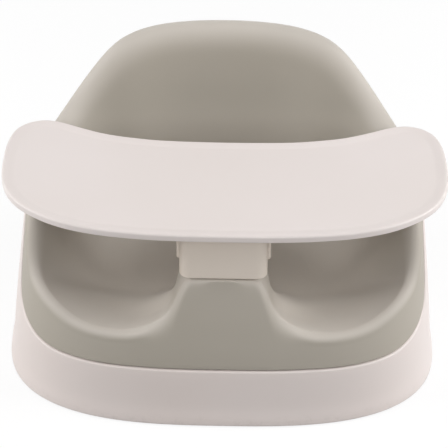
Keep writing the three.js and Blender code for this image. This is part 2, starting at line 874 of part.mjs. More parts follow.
add(body, "base_shell", baseShell(), shell_plastic());
add(body, "bottom_plate", bottomPlate(), hidden_plastic());
addEach(body, "rubber_foot", feet, 0, rubberFoot, rubber);
addEach(body, "plate_screw", plate_screws, plate_seat, () => screw(plate_screw_length), steel);
add(post, "tray_socket", traySocket(), hidden_plastic());
addEach(post, "socket_screw", socketScrewPlaces(), socket_seat, () => screw(socket_screw_length), steel);
add(body, "foam_insert", foamInsert(), foam());
add(body, "tray_top", trayTop(), tray_plastic(), [0, -tray_reach, 0]);
add(post, "tray_stem", trayStem(), tray_plastic());
addEach(post, "tray_screw", trayScrewPlaces(), tray_seat, () => screw(tray_screw_length), steel);
add(post, "latch_clip", latchClip(), steel());
add(post, "release_button_left", releaseButton(-1), tray_plastic());
add(post, "release_button_right", releaseButton(1), tray_plastic());

export default group;
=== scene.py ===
"""Baby floor seat: a moulded foam insert in a flared plastic base, with a tray on one central post.

Each sub-assembly is a class that holds its sizes, builds its surfaces and dresses them. A surface is worked
out with numpy on a grid of two parameters. All lengths are metres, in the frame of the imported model:
+Z up, the front of the seat towards -Y. Turns are degrees round the body's centre line, from the front.
"""

import logging
import math
from dataclasses import dataclass, field
from enum import Enum
from typing import Callable, Sequence

import bpy
import numpy as np
from mathutils import Matrix, Vector


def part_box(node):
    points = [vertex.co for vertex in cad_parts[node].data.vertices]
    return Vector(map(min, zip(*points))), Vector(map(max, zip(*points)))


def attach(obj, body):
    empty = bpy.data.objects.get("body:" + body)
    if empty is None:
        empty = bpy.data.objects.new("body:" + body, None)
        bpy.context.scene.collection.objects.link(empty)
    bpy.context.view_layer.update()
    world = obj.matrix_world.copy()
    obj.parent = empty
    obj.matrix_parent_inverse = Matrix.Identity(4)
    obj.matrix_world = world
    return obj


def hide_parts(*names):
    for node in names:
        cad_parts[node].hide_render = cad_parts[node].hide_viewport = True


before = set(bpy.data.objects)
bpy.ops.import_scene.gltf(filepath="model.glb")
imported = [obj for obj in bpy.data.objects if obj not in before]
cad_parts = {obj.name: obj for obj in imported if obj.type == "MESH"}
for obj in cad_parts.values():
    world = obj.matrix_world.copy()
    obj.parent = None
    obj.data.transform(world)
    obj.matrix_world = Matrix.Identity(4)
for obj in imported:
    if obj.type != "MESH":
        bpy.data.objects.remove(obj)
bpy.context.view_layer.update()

Array = np.ndarray
Row = tuple[Array, Array]
Material = bpy.types.Material
Object = bpy.types.Object
Nodes = bpy.types.NodeTree
Node = bpy.types.Node
Socket = bpy.types.NodeSocket
Value = Socket | float | tuple[float, ...]
Place = tuple[float, float, float]

log = logging.getLogger("baby_seat")

# Angle past which an edge stays crisp, and steps of a smoothing round, forward and back
CRISP_ANGLE = math.radians(32)
FORWARD_SHARE = 0.5
GRID_BACK_SHARE = -0.53
OUTLINE_BACK_SHARE = -0.52
PIN_STEPS = 32


class Body(Enum):
    """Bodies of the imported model."""

    BASE = "base"
    INSERT = "insert"
    TRAY = "tray"
    BUTTON_LEFT = "button_left"
    BUTTON_RIGHT = "button_right"


class Slot(Enum):
    """Material slots of the record."""

    SHELL = "shell_plastic"
    TRAY = "tray_plastic"
    HIDDEN = "hidden_plastic"
    FOAM = "moulded_foam"
    RUBBER = "rubber"
    STEEL = "steel"


# Outer surface: sizes at each level, as shares of the sizes at the foot
LEVEL_SHARES = (0, 0.022, 0.056, 0.14, 0.23, 0.37, 0.55, 0.72, 1)
WIDTH_SHARES = (1, 0.999, 0.986, 0.9745, 0.963, 0.943, 0.915, 0.89, 0.847)
FRONT_SHARES = (1, 0.998, 0.981, 0.966, 0.95, 0.902, 0.818, 0.743, 0.63)
REAR_SHARES = (1, 0.998, 0.986, 0.972, 0.956, 0.917, 0.863, 0.815, 0.737)

# Heights round the body, as shares of its height, against the turn
SEAM_TURNS = (0, 28, 40, 47, 54, 59, 63, 67.5, 71.5, 75, 77.5, 79.5, 82, 90, 180)
SEAM_SHARES = (
    0.223, 0.222, 0.218, 0.216, 0.216, 0.222, 0.233, 0.254, 0.281, 0.32, 0.43, 0.55, 0.607, 0.63, 0.65,
)
CREST_TURNS = (
    0, 30, 38, 44, 51, 57, 62, 66, 69, 71, 73.6, 76.4, 78.6, 83, 90, 97, 108, 114, 121.8, 128, 133.5, 137.6,
    143, 150.3, 159.7, 180,
)
CREST_SHARES = (
    0.345, 0.345, 0.343, 0.343, 0.353, 0.376, 0.399, 0.42, 0.442, 0.467, 0.519, 0.58, 0.62, 0.661, 0.687, 0.7,
    0.713, 0.724, 0.763, 0.819, 0.885, 0.932, 0.97, 0.99, 0.998, 1,
)

# Foam walls and seat against the turn
HALF_WALL_TURNS = (0, 75, 110, 150, 180)
HALF_WALL_SHARES = (0.75, 0.75, 0.86, 1, 1)
INNER_DROP_TURNS = (0, 52, 62, 72, 82, 180)
INNER_DROP_SHARES = (0.5, 0.5, 0.6, 0.9, 1, 1)
SEAT_TURNS = (0, 40, 52, 62, 72, 90, 130, 180)
SEAT_CORNER_SHARES = (0.26, 0.3, 0.43, 0.57, 0.66, 0.7, 0.61, 0.52)
SEAT_RING_SHARES = (0.75, 0.5, 0.25)

# Pommel: how much it lifts the foam, against the distance from its core
LIFT_REACH_SHARES = (0, 0.14, 0.21, 0.27, 0.31, 0.35, 0.44, 0.524, 0.666, 0.8, 1, 1.3)
LIFT_SHARES = (1, 1, 0.97, 0.86, 0.72, 0.505, 0.31, 0.214, 0.117, 0.06, 0.015, 0)

# Tray outline, as shares of its half width, from the middle of the front to the middle of the back
TRAY_OUTLINE_SHARES = (
    (0, -0.425), (0.198, -0.423), (0.385, -0.41), (0.556, -0.382), (0.7, -0.334), (0.812, -0.267),
    (0.903, -0.182), (0.962, -0.08), (0.993, 0.043), (1, 0.182), (0.995, 0.326), (0.969, 0.438),
    (0.914, 0.505), (0.838, 0.531), (0.763, 0.514), (0.662, 0.465), (0.555, 0.418), (0.427, 0.386),
    (0.267, 0.364), (0, 0.357),
)


def table_curve(places: Sequence[float], values: Sequence[float], at: Array) -> Array:
    """Curve through a table that never leaves the range of its two neighbours.

    Between two points it is a cubic whose end slopes are the harmonic means of the neighbouring chords, and
    the slope is zero where the chords change sign and at both ends.

    Args:
        places: Places of the table, rising.
        values: Values at those places.
        at: Places to work out.

    Returns:
        The values, in the shape of at.
    """
    x, y = np.asarray(places, float), np.asarray(values, float)
    chord = np.diff(y) / np.diff(x)
    slope = np.zeros_like(y)
    before, after = chord[:-1], chord[1:]
    same = before * after > 0
    slope[1:-1][same] = 2 * (before * after)[same] / (before + after)[same]
    at = np.clip(at, x[0], x[-1])
    i = np.clip(np.searchsorted(x, at, side="right") - 1, 0, len(x) - 2)
    span = x[i + 1] - x[i]
    t = (at - x[i]) / span
    rise = t * t * (3 - 2 * t)
    bend = span * t * (1 - t) * ((1 - t) * slope[i] - t * slope[i + 1])
    return y[i] * (1 - rise) + y[i + 1] * rise + bend


def softened(curve: Callable[[Array], Array], at: Array, spread: float) -> Array:
    """Running mean of a curve with a bell of weights, which rounds the corners between its cubics.

    Args:
        curve: The curve, as a function of place.
        at: Places to work out.
        spread: Width of the bell, one standard deviation.

    Returns:
        The softened values.
    """
    steps = np.linspace(-2.4, 2.4, 13)
    weights = np.exp(-steps * steps / 2)
    total = sum(weight * curve(at + step * spread) for step, weight in zip(steps, weights))
    return total / weights.sum()


def sideless(turn: Array) -> Array:
    """Turn from the front without its side, from 0 to 180."""
    return np.abs((np.asarray(turn) + 180) % 360 - 180)


def quarter(steps: int) -> Array:
    """Angles of a quarter turn, both ends included."""
    return np.linspace(0, math.pi / 2, steps + 1)


def neighbour_mean(points: Array) -> Array:
    """Mean of the four neighbours of each point, in a grid that closes along its columns."""
    sides = np.roll(points, 1, axis=1) + np.roll(points, -1, axis=1)
    above = np.concatenate([points[:1], points[:-1]])
    below = np.concatenate([points[1:], points[-1:]])
    return (sides + above + below) / 4


def smoothed(points: Array, weight: Array, rounds: int, shares: Sequence[float]) -> Array:
    """Grid of points moved in rounds towards the means of their neighbours.

    A step forward and a slightly longer one back keep the long waves and fade the short ones. Steps
    forward alone also round the edges.

    Args:
        points: Points of a grid that closes along its columns, rows by columns by three.
        weight: Share of each step that a point takes, rows by columns.
        rounds: Number of rounds.
        shares: Steps of a round, as shares of the way to the mean.

    Returns:
        The smoothed grid.
    """
    for _ in range(rounds):
        for share in shares:
            points = points + weight[..., None] * share * (neighbour_mean(points) - points)
    return points


def quarter_rows(at: Array, inset: Array | float, height: Array, rise: float, steps: int) -> list[Row]:
    """Rows of a quarter round, from an inset at a height out to the full radius, a rise further up."""
    return [
        (at - inset * (1 - math.sin(lean)), height + rise * (1 - math.cos(lean))) for lean in quarter(steps)
    ]


def grid_faces(rows: int, columns: int) -> Array:
    """Quads of a grid that closes along its columns, as four numbers of points each."""
    row, column = np.meshgrid(np.arange(rows - 1), np.arange(columns), indexing="ij")
    here = row * columns + column
    beside = row * columns + (column + 1) % columns
    return np.stack([here, here + columns, beside + columns, beside], axis=-1).reshape(-1, 4)


def linked(name: str, data: bpy.types.ID) -> Object:
    """New object of some data, linked to the scene."""
    obj = bpy.data.objects.new(name, data)
    bpy.context.scene.collection.objects.link(obj)
    return obj


def new_object(name: str, points: Array, quads: Array, triangles: Array) -> Object:
    """Smooth mesh object whose faces look outward.

    Args:
        name: Name of the object.
        points: Points, one row each.
        quads: Faces of four points.
        triangles: Faces of three points.

    Returns:
        The object, linked to the scene.
    """
    parts = [triangles] if not len(quads) else [quads[:, [0, 1, 2]], quads[:, [0, 2, 3]], triangles]
    corners = points[np.concatenate(parts)]
    volume = np.einsum("ij,ij->", corners[:, 0], np.cross(corners[:, 1], corners[:, 2]))
    if volume < 0:
        quads, triangles = quads[:, ::-1], triangles[:, ::-1]
    mesh = bpy.data.meshes.new(name)
    mesh.from_pydata(points.tolist(), [], quads.tolist() + triangles.tolist())
    mesh.polygons.foreach_set("use_smooth", np.ones(len(mesh.polygons), bool))
    mesh.update()
    return linked(name, mesh)


def capped_grid(name: str, rings: Array, first: Sequence[float], last: Sequence[float]) -> Object:
    """Closed body of a stack of rings between a first and a last point.

    Args:
        name: Name of the object.
        rings: Rings, rows by columns by three.
        first: Point that closes the first ring.
        last: Point that closes the last ring.

    Returns:
        The object.
    """
    rows, columns = rings.shape[:2]
    points = np.concatenate([rings.reshape(-1, 3), [first], [last]])
    ring = np.arange(columns)
    beside = (ring + 1) % columns
    start = np.stack([np.full(columns, rows * columns), ring, beside], axis=-1)
    base = (rows - 1) * columns
    end = np.stack([np.full(columns, rows * columns + 1), base + beside, base + ring], axis=-1)
    return new_object(name, points, grid_faces(rows, columns), np.concatenate([start, end]))


def pin(name: str, x: float, y: float, radius: float, bottom: float, top: float) -> Object:
    """Upright pin: a circle of points at a place in plan, between two heights."""
    angle = np.arange(PIN_STEPS) * 2 * math.pi / PIN_STEPS
    plan = np.column_stack([radius * np.cos(angle) + x, radius * np.sin(angle) + y])
    rings = np.array([np.column_stack([plan, np.full(PIN_STEPS, height)]) for height in (bottom, top)])
    return capped_grid(name, rings, (x, y, bottom), (x, y, top))


def node_pins(node: str, count: int, radius: float, bottom: float, top: float) -> list[Object]:
    """Pins on the centre lines of a numbered row of CAD nodes.

    Args:
        node: Name of the nodes, without their number.
        count: How many there are.
        radius: Radius of the pins.
        bottom: Height of their bottom.
        top: Height of their top.

    Returns:
        The pins.
    """
    pins = []
    for number in range(1, count + 1):
        low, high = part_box(f"{node}_{number}")
        x, y = (low[0] + high[0]) / 2, (low[1] + high[1]) / 2
        pins.append(pin(f"pin_{number}", x, y, radius, bottom, top))
    return pins


def rounded_outline(half_x: float, half_y: float, corner: float, steps: int = 10) -> Array:
    """Rectangle with quarter circles for corners, as points counter-clockwise round the origin."""
    points = []
    for number, (side_x, side_y) in enumerate(((1, 1), (-1, 1), (-1, -1), (1, -1))):
        angle = quarter(steps) + number * math.pi / 2
        middle = (side_x * (half_x - corner), side_y * (half_y - corner))
        points.append(middle + corner * np.column_stack([np.cos(angle), np.sin(angle)]))
    return np.concatenate(points)


@dataclass(frozen=True)
class Block:
    """Block of a rounded rectangle, with rounded edges, that stands along one axis.

    Each ring is the outline moved inward by an inset; the insets follow a quarter circle at each rounded end.
    """

    half_x: float
    half_y: float
    corner: float
    bottom: float
    top: float
    bottom_round: float = 0.0
    top_round: float = 0.0

    def rings(self) -> Array:
        """Rings from the bottom to the top, about the origin."""
        sin, cos = np.sin(quarter(8)), np.cos(quarter(8))
        plain = np.zeros((2, 1))
        low = self.bottom_round * (1 - np.array([sin, cos])) if self.bottom_round else plain
        high = self.top_round * (1 - np.array([cos, sin])) if self.top_round else plain
        insets = np.concatenate([low[0], high[0]])
        heights = np.concatenate([self.bottom + low[1], self.top - high[1]])
        rings = []
        for inset, height in zip(insets, heights):
            outline = rounded_outline(self.half_x - inset, self.half_y - inset, self.corner - inset)
            rings.append(np.column_stack([outline, np.full(len(outline), height)]))
        return np.array(rings)

    def upright(self, name: str, centre_y: float) -> Object:
        """The block along Z, on a centre line at a depth."""
        rings = self.rings() + np.array([0, centre_y, 0])
        return capped_grid(name, rings, (0, centre_y, self.bottom), (0, centre_y, self.top))

    def sideways(self, name: str, side: int, centre_y: float, middle: float) -> Object:
        """The block along X on one side: its own bottom and top are distances from the middle plane.

        Args:
            name: Name of the object.
            side: 1 for the right side and -1 for the left.
            centre_y: Depth of its centre line.
            middle: Height of its centre line.

        Returns:
            The object.
        """
        rings = self.rings()
        turned_rings = np.stack(
            [side * rings[..., 2], rings[..., 1] + centre_y, rings[..., 0] + middle], axis=-1
        )
        first = (side * self.bottom, centre_y, middle)
        last = (side * self.top, centre_y, middle)
        return capped_grid(name, turned_rings, first, last)


def combine(obj: Object, tools: Sequence[Object], operation: str) -> Object:
    """Joins tools to an object or cuts them from it, and removes the tools.

    Args:
        obj: The object to change.
        tools: The objects to join or cut.
        operation: UNION or DIFFERENCE.

    Returns:
        The changed object, with no modifier left on it.
    """
    for number, tool in enumerate(tools):
        modifier = obj.modifiers.new(f"tool_{number}", "BOOLEAN")
        modifier.operation = operation
        modifier.solver = "EXACT"
        modifier.object = tool
    depsgraph = bpy.context.evaluated_depsgraph_get()
    mesh = bpy.data.meshes.new_from_object(obj.evaluated_get(depsgraph))
    obj.modifiers.clear()
    old = obj.data
    obj.data = mesh
    bpy.data.meshes.remove(old)
    mesh.name = obj.name
    mesh.polygons.foreach_set("use_smooth", np.ones(len(mesh.polygons), bool))
    mesh.set_sharp_from_angle(angle=CRISP_ANGLE)
    for tool in tools:
        bpy.data.objects.remove(tool, do_unlink=True)
    return obj


@dataclass(frozen=True)
class BodyForm:
    """Outer surface that the base moulding and the foam insert share, and the lines round it."""

    height: float = 0.242
    half_width: float = 0.1875
    front_reach: float = 0.1322
    rear_reach: float = 0.205
    front_power: float = 2.8
    rear_power: float = 2.2
    centre_y: float = -0.0364
    level_spread_share: float = 0.02
    turn_spread: float = 1.6
    # Where columns stand closer together: how much, at which turn and over what spread
    crowded: tuple[Place, ...] = ((3.2, 18, 13), (1.8, 77, 9))
    density_steps: int = 721
    gap_step: float = 0.4
    steepest_gap: float = 3.2

    def radius(self, turn: Array, height: Array) -> Array:
        """Distance from the centre line to the surface.

        In plan the surface is a superellipse: with the half width w and the reach d at that height, the
        radius is (|sin turn / w| ^ p + |cos turn / d| ^ p) ^ (-1 / p).

        Args:
            turn: Turns from the front.
            height: Heights above the floor.

        Returns:
            The radii.
        """
        share = np.asarray(height) / self.height

        def level(values: Sequence[float]) -> Array:
            """Share of a size at the heights."""
            return softened(lambda at: table_curve(LEVEL_SHARES, values, at), share, self.level_spread_share)

        angle = np.radians(turn)
        front = np.cos(angle) > 0
        reach = np.where(front, self.front_reach * level(FRONT_SHARES), self.rear_reach * level(REAR_SHARES))
        power = np.where(front, self.front_power, self.rear_power)
        across = np.abs(np.sin(angle)) / (self.half_width * level(WIDTH_SHARES))
        along = np.abs(np.cos(angle)) / reach
        return (across**power + along**power) ** (-1 / power)

    def round_table(self, turns: Sequence[float], values: Sequence[float], at: Array) -> Array:
        """Softened table against the turn, the same on both sides."""
        return softened(lambda turn: table_curve(turns, values, sideless(turn)), at, self.turn_spread)

    def seam(self, turn: Array) -> Array:
        """Height of the base's rim."""
        return self.height * self.round_table(SEAM_TURNS, SEAM_SHARES, turn)

    def seam_gap(self, turn: Array, gap: float) -> Array:
        """Upright gap that keeps one distance across the seam, however steep the seam is."""
        rise = self.seam(turn + self.gap_step) - self.seam(turn - self.gap_step)
        run = self.radius(turn, self.seam(turn)) * math.radians(2 * self.gap_step)
        return gap * np.minimum(np.sqrt(1 + (rise / run) ** 2), self.steepest_gap)

    def crest(self, turn: Array) -> Array:
        """Height of the foam's crest without the pommel."""
        return self.height * self.round_table(CREST_TURNS, CREST_SHARES, turn)

    def points(self, turn: Array, radii: Array, heights: Array) -> Array:
        """Points at turns, radii and heights, with a last axis of three."""
        angle = np.radians(turn)
        x = radii * np.sin(angle)
        y = self.centre_y - radii * np.cos(angle)
        return np.stack(np.broadcast_arrays(x, y, heights), axis=-1)

    def rings(self, turn: Array, rows: list[Row]) -> Array:
        """Points of a profile's rows, rows by columns by three."""
        return self.points(turn, np.array([row[0] for row in rows]), np.array([row[1] for row in rows]))

    def columns(self, count: int) -> Array:
        """Turns of the columns, closer together at the pommel and at the steep part of the seam."""
        at = np.linspace(0, 180, self.density_steps)
        density = np.ones_like(at)
        for extra, middle, spread in self.crowded:
            density += extra * np.exp(-(((at - middle) / spread) ** 2))
        total = np.concatenate([[0], np.cumsum((density[1:] + density[:-1]) / 2)])
        half = np.interp(np.linspace(0, total[-1], count // 2 + 1), total, at)
        return np.concatenate([half, 360 - half[-2:0:-1]])


@dataclass(frozen=True)
class Bowl:
    """Inside of the base's bowl, which the underside of the insert follows with a clearance."""

    rim_width: float = 0.009
    draft: float = 0.006
    fillet: float = 0.008

    def rows(
        self, side: Array, top: Array, floor: float, flats: Sequence[float], sides: Sequence[float]
    ) -> list[Row]:
        """Rows from the floor, round its fillet and up the side.

        Args:
            side: Radii of the side at its top.
            top: Heights of the side's top.
            floor: Height of the floor.
            flats: Rows on the floor, as shares of the side's foot.
            sides: Rows on the side, as shares of the way up.

        Returns:
            The rows as pairs of radii and heights.
        """
        start, bottom = side - self.draft, np.full_like(side, floor)
        rows = [(start * share, bottom) for share in flats]
        rows += quarter_rows(start, self.fillet, bottom, self.fillet, 6)
        low = bottom + self.fillet
        return rows + [(start + self.draft * share, low + (top - low) * share) for share in sides]


# Finishes


def group_socket(tree: Nodes, name: str, way: str, kind: str, value: float = 0.0) -> None:
    """Adds a named socket to a node group, with a default where it is a number."""
    socket = tree.interface.new_socket(name=name, in_out=way, socket_type=f"NodeSocket{kind}")
    if way == "INPUT" and kind == "Float":
        socket.default_value = value


def new_group(name: str, inputs: dict[str, float], outputs: dict[str, str]) -> tuple[Nodes, Socket, Socket]:
    """Empty shader group with named inputs and outputs.

    Args:
        name: Name of the group.
        inputs: Names of the number inputs, with their defaults. A vector input called Place comes first.
        outputs: Names of the outputs, with their kinds.

    Returns:
        The group, its input node and its output node.
    """
    tree = bpy.data.node_groups.new(name, "ShaderNodeTree")
    group_socket(tree, "Place", "INPUT", "Vector")
    for label, value in inputs.items():
        group_socket(tree, label, "INPUT", "Float", value)
    for label, kind in outputs.items():
        group_socket(tree, label, "OUTPUT", kind)
    return tree, tree.nodes.new("NodeGroupInput"), tree.nodes.new("NodeGroupOutput")


def add(tree: Nodes, kind: str, inputs: dict[str | int, Value], **settings: str | bool) -> Node:
    """Adds a shader node.

    Args:
        tree: The node tree.
        kind: Kind of the node, without its ShaderNode prefix.
        inputs: What each input takes: a link from a socket, or a plain value.
        settings: Settings of the node.

    Returns:
        The node.
    """
    node = tree.nodes.new(f"ShaderNode{kind}")
    for label, value in settings.items():
        setattr(node, label, value)
    return wired(tree, node, inputs)


def wired(tree: Nodes, node: Node, inputs: dict[str | int, Value]) -> Node:
    """A node whose inputs have taken their links and plain values."""
    for label, value in inputs.items():
        if isinstance(value, Socket):
            tree.links.new(value, node.inputs[label])
        else:
            node.inputs[label].default_value = value
    return node


def noise(tree: Nodes, place: Socket, scale: Socket | float, detail: float, roughness: float = 0.5) -> Socket:
    """Noise over a place, from 0 to 1."""
    inputs = {"Vector": place, "Scale": scale, "Detail": detail, "Roughness": roughness}
    return add(tree, "TexNoise", inputs).outputs["Fac"]


def maths(tree: Nodes, operation: str, *values: Socket | float, clamp: bool = False) -> Socket:
    """Result of a Math node on sockets or numbers."""
    return add(tree, "Math", dict(enumerate(values)), operation=operation, use_clamp=clamp).outputs[0]


def ranged(
    tree: Nodes, value: Socket, low: float, high: float, to_low: float = 0.0, to_high: float = 1.0
) -> Socket:
    """Value mapped smoothly from one range to another."""
    inputs = {"Value": value, "From Min": low, "From Max": high, "To Min": to_low, "To Max": to_high}
    return add(tree, "MapRange", inputs, interpolation_type="SMOOTHSTEP").outputs["Result"]


def mixed(tree: Nodes, factor: Socket, a: Value, b: Value) -> Socket:
    """Mix of two colours, each a socket or a plain colour."""
    return add(tree, "Mix", {"Factor": factor, 6: a, 7: b}, data_type="RGBA").outputs[2]


def grain_group() -> Nodes:
    """Group for the fine grain of a moulding: a height for bump and a mask of its high spots.

    The height is a fine noise, plus pits where a cell pattern is near its cell middles.
    """
    tree, entry, exit_node = new_group(
        "moulded_grain",
        {"Scale": 1400.0, "Pits": 0.3},
        {"Height": "Float", "High Spots": "Float"},
    )
    place = entry.outputs["Place"]
    fine = noise(tree, place, entry.outputs["Scale"], 3.0, 0.6)
    cells = add(tree, "TexVoronoi", {"Vector": place, "Scale": entry.outputs["Scale"]}, feature="F1")
    pit = ranged(tree, cells.outputs["Distance"], 0.1, 0.5)
    height = maths(tree, "ADD", fine, maths(tree, "MULTIPLY", pit, entry.outputs["Pits"]))
    wired(tree, exit_node, {"Height": height, "High Spots": ranged(tree, fine, 0.45, 0.75)})
    return tree


def tone_group() -> Nodes:
    """Group for slow changes of tone and gloss: a wide cloud, faint flow lines and handling marks."""
    tree, entry, exit_node = new_group(
        "moulded_tone",
        {"Cloud Scale": 7.0, "Mark Scale": 38.0},
        {"Cloud": "Float", "Marks": "Float"},
    )
    place = entry.outputs["Place"]
    wide = noise(tree, place, entry.outputs["Cloud Scale"], 2.0)
    stretched = add(tree, "Mapping", {"Vector": place, "Scale": (1.0, 1.0, 4.0)})
    flow = noise(tree, stretched.outputs["Vector"], 3.5, 3.0)
    cloud = maths(tree, "ADD", maths(tree, "MULTIPLY", wide, 0.7), maths(tree, "MULTIPLY", flow, 0.3))
    marks = noise(tree, place, entry.outputs["Mark Scale"], 5.0, 0.65)
    wired(tree, exit_node, {"Cloud": ranged(tree, cloud, 0.3, 0.7), "Marks": ranged(tree, marks, 0.52, 0.72)})
    return tree


def wear_group() -> Nodes:
    """Group for wear: faint scratches, and scuffs that fade upward from the floor."""
    tree, entry, exit_node = new_group(
        "light_wear",
        {"Scratch Scale": 60.0, "Scuff Height": 0.012},
        {"Scratches": "Float", "Scuffs": "Float"},
    )
    place = entry.outputs["Place"]
    bent = add(tree, "Mapping", {"Vector": place, "Rotation": (0.4, 0.7, 0.9), "Scale": (1.0, 14.0, 5.0)})
    lines = noise(tree, bent.outputs["Vector"], entry.outputs["Scratch Scale"], 2.0, 0.4)
    patches = noise(tree, place, 18.0, 2.0)
    away = maths(tree, "ABSOLUTE", maths(tree, "SUBTRACT", lines, 0.5))
    near_line = ranged(tree, away, 0.0, 0.012, 1.0, 0.0)
    scratches = maths(tree, "MULTIPLY", near_line, ranged(tree, patches, 0.55, 0.7))
    axes = add(tree, "SeparateXYZ", {"Vector": place})
    share = maths(tree, "DIVIDE", axes.outputs["Z"], entry.outputs["Scuff Height"])
    fading = maths(tree, "SUBTRACT", 1.0, share, clamp=True)
    speckle = ranged(tree, noise(tree, place, 150.0, 4.0, 0.7), 0.5, 0.7)
    wired(tree, exit_node, {"Scratches": scratches, "Scuffs": maths(tree, "MULTIPLY", fading, speckle)})
    return tree


@dataclass(frozen=True)
class SharedEffects:
    """The node groups that the finishes place, built once."""

    grain: Nodes
    tone: Nodes
    wear: Nodes

    @staticmethod
    def built() -> "SharedEffects":
        """All groups."""
        return SharedEffects(grain_group(), tone_group(), wear_group())


def linear(red: int, green: int, blue: int) -> tuple[float, float, float, float]:
    """Colour given as screen values from 0 to 255, as the shader's own linear values."""
    def channel(value: int) -> float:
        """One channel's linear value."""
        share = value / 255
        return share / 12.92 if share <= 0.04045 else ((share + 0.055) / 1.055) ** 2.4

    return channel(red), channel(green), channel(blue), 1.0


@dataclass(frozen=True)
class Finish:
    """Procedural finish of a moulded or formed piece: tone, grain, handling marks, light wear and, where
    given, painted light that makes faces which look up paler.
    """

    name: str
    colour: tuple[int, int, int]
    shade: tuple[int, int, int]
    roughness: float
    # Paler colour painted on faces that look up, standing in for light that falls on them: painted light, not
    # a real fade
    painted_top_light: tuple[int, int, int] | None = None
    mark_gloss: float = -0.05
    spot_dullness: float = 0.04
    grain_scale: float = 1500.0
    grain_pits: float = 0.3
    grain_depth: float = 0.00002
    scratch_depth: float = 0.00001
    scuff_tone: tuple[int, int, int] = (176, 168, 160)
    scuff_share: float = 0.25
    metallic: float = 0.0
    specular: float = 0.5
    sheen: float = 0.0

    def material(self, effects: SharedEffects) -> Material:
        """Material of this finish.

        Args:
            effects: The shared node groups.

        Returns:
            The material; its patterns read Object coordinates.
        """
        made = bpy.data.materials.new(self.name)
        made.use_nodes = True
        tree = made.node_tree
        shader = tree.nodes["Principled BSDF"]
        place = tree.nodes.new("ShaderNodeTexCoord").outputs["Object"]
        tone = self.placed(tree, effects.tone, place, {})
        wear = self.placed(tree, effects.wear, place, {})
        grain = self.placed(tree, effects.grain, place, {"Scale": self.grain_scale, "Pits": self.grain_pits})
        colour = mixed(tree, tone.outputs["Cloud"], linear(*self.shade), linear(*self.colour))
        # Painted light: the colour turns paler on faces that look up, as if lit from above
        if self.painted_top_light:
            colour = mixed(tree, self.upward(tree), colour, linear(*self.painted_top_light))
        scuffed = maths(tree, "MULTIPLY", wear.outputs["Scuffs"], self.scuff_share)
        gloss = maths(tree, "MULTIPLY", tone.outputs["Marks"], self.mark_gloss)
        dull = maths(tree, "MULTIPLY", grain.outputs["High Spots"], self.spot_dullness)
        wired(tree, shader, {
            "Metallic": self.metallic,
            "Specular IOR Level": self.specular,
            "Sheen Weight": self.sheen,
            "Base Color": mixed(tree, scuffed, colour, linear(*self.scuff_tone)),
            "Roughness": maths(tree, "ADD", maths(tree, "ADD", gloss, dull), self.roughness, clamp=True),
            "Normal": self.bumped(tree, grain.outputs["Height"], wear.outputs["Scratches"]),
        })
        return made

    @staticmethod
    def upward(tree: Nodes) -> Socket:
        """Share of the painted light, a paler colour for light that falls from above: none on upright faces,
        all of it on faces that look up.
        """
        axes = add(tree, "SeparateXYZ", {"Vector": tree.nodes.new("ShaderNodeTexCoord").outputs["Normal"]})
        return ranged(tree, axes.outputs["Z"], 0.1, 0.8)

    @staticmethod
    def placed(tree: Nodes, group: Nodes, place: Socket, values: dict[str, float]) -> Node:
        """One use of a shared group, with its own values."""
        node = tree.nodes.new("ShaderNodeGroup")
        node.node_tree = group
        return wired(tree, node, {"Place": place, **values})

    def bumped(self, tree: Nodes, grain: Socket, scratches: Socket) -> Socket:
        """Normal with the bump of the grain, then of the scratches."""
        fine = add(tree, "Bump", {"Strength": 1.0, "Distance": self.grain_depth, "Height": grain})
        inputs = {"Strength": 1.0, "Distance": self.scratch_depth, "Height": scratches}
        return add(tree, "Bump", {**inputs, "Normal": fine.outputs["Normal"]}, invert=True).outputs["Normal"]


SHELL_FINISH = Finish("shell_plastic", (228, 218, 214), (225, 214, 209), 0.42)
TRAY_FINISH = Finish("tray_plastic", (229, 220, 217), (226, 217, 213), 0.38, scuff_share=0.0)
STEM_FINISH = Finish("stem_plastic", (231, 220, 208), (228, 216, 203), 0.4, scuff_share=0.0)
HIDDEN_FINISH = Finish("hidden_plastic", (216, 207, 200), (211, 202, 195), 0.5)
FOAM_FINISH = Finish(
    "moulded_foam",
    (178, 171, 160),
    (173, 166, 154),
    0.55,
    # Painted light: the paler foam colour on faces that look up
    painted_top_light=(198, 191, 182),
    grain_scale=1100.0,
    grain_pits=0.6,
    grain_depth=0.00004,
    scuff_share=0.0,
    specular=0.3,
    sheen=0.15,
)
RUBBER_FINISH = Finish("foot_rubber", (88, 86, 82), (76, 74, 71), 0.8, grain_scale=900.0, grain_depth=0.00005)
STEEL_FINISH = Finish(
    "zinc_steel",
    (190, 192, 194),
    (170, 173, 178),
    0.32,
    metallic=1.0,
    grain_scale=2200.0,
    scuff_share=0.0,
)


@dataclass
class Dresser:
    """Gives each piece its material, body and the CAD nodes that it stands for."""

    effects: SharedEffects
    materials: dict[str, Material] = field(default_factory=dict)

    def material(self, finish: Finish) -> Material:
        """Material of a finish, made once."""
        if finish.name not in self.materials:
            self.materials[finish.name] = finish.material(self.effects)
        return self.materials[finish.name]

    def piece(self, obj: Object, finish: Finish, slot: Slot, body: Body, *nodes: str) -> Object:
        """Dresses a new piece.

        Args:
            obj: The piece.
            finish: Its finish.
            slot: The record's slot; not used.
            body: The body that it rides on.
            nodes: CAD nodes that it stands for.

        Returns:
            The piece.
        """
        obj.data.materials.clear()
        obj.data.materials.append(self.material(finish))
        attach(obj, body.value)
        if nodes:
            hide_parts(*nodes)
        log.info("%s rides on %s: %d faces", obj.name, body.value, len(obj.data.polygons))
        return obj

    def node(self, name: str, finish: Finish) -> None:
        """Gives a CAD node its finish."""
        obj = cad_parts[name]
        made = self.material(finish)
        if obj.material_slots:
            for entry in obj.material_slots:
                entry.material = made
        else:
            obj.data.materials.append(made)
        log.info("%s keeps its CAD solid", name)

    def row(self, name: str, count: int, finish: Finish) -> None:
        """Gives a numbered row of CAD nodes its finish."""
        for number in range(1, count + 1):
            self.node(f"{name}_{number}", finish)


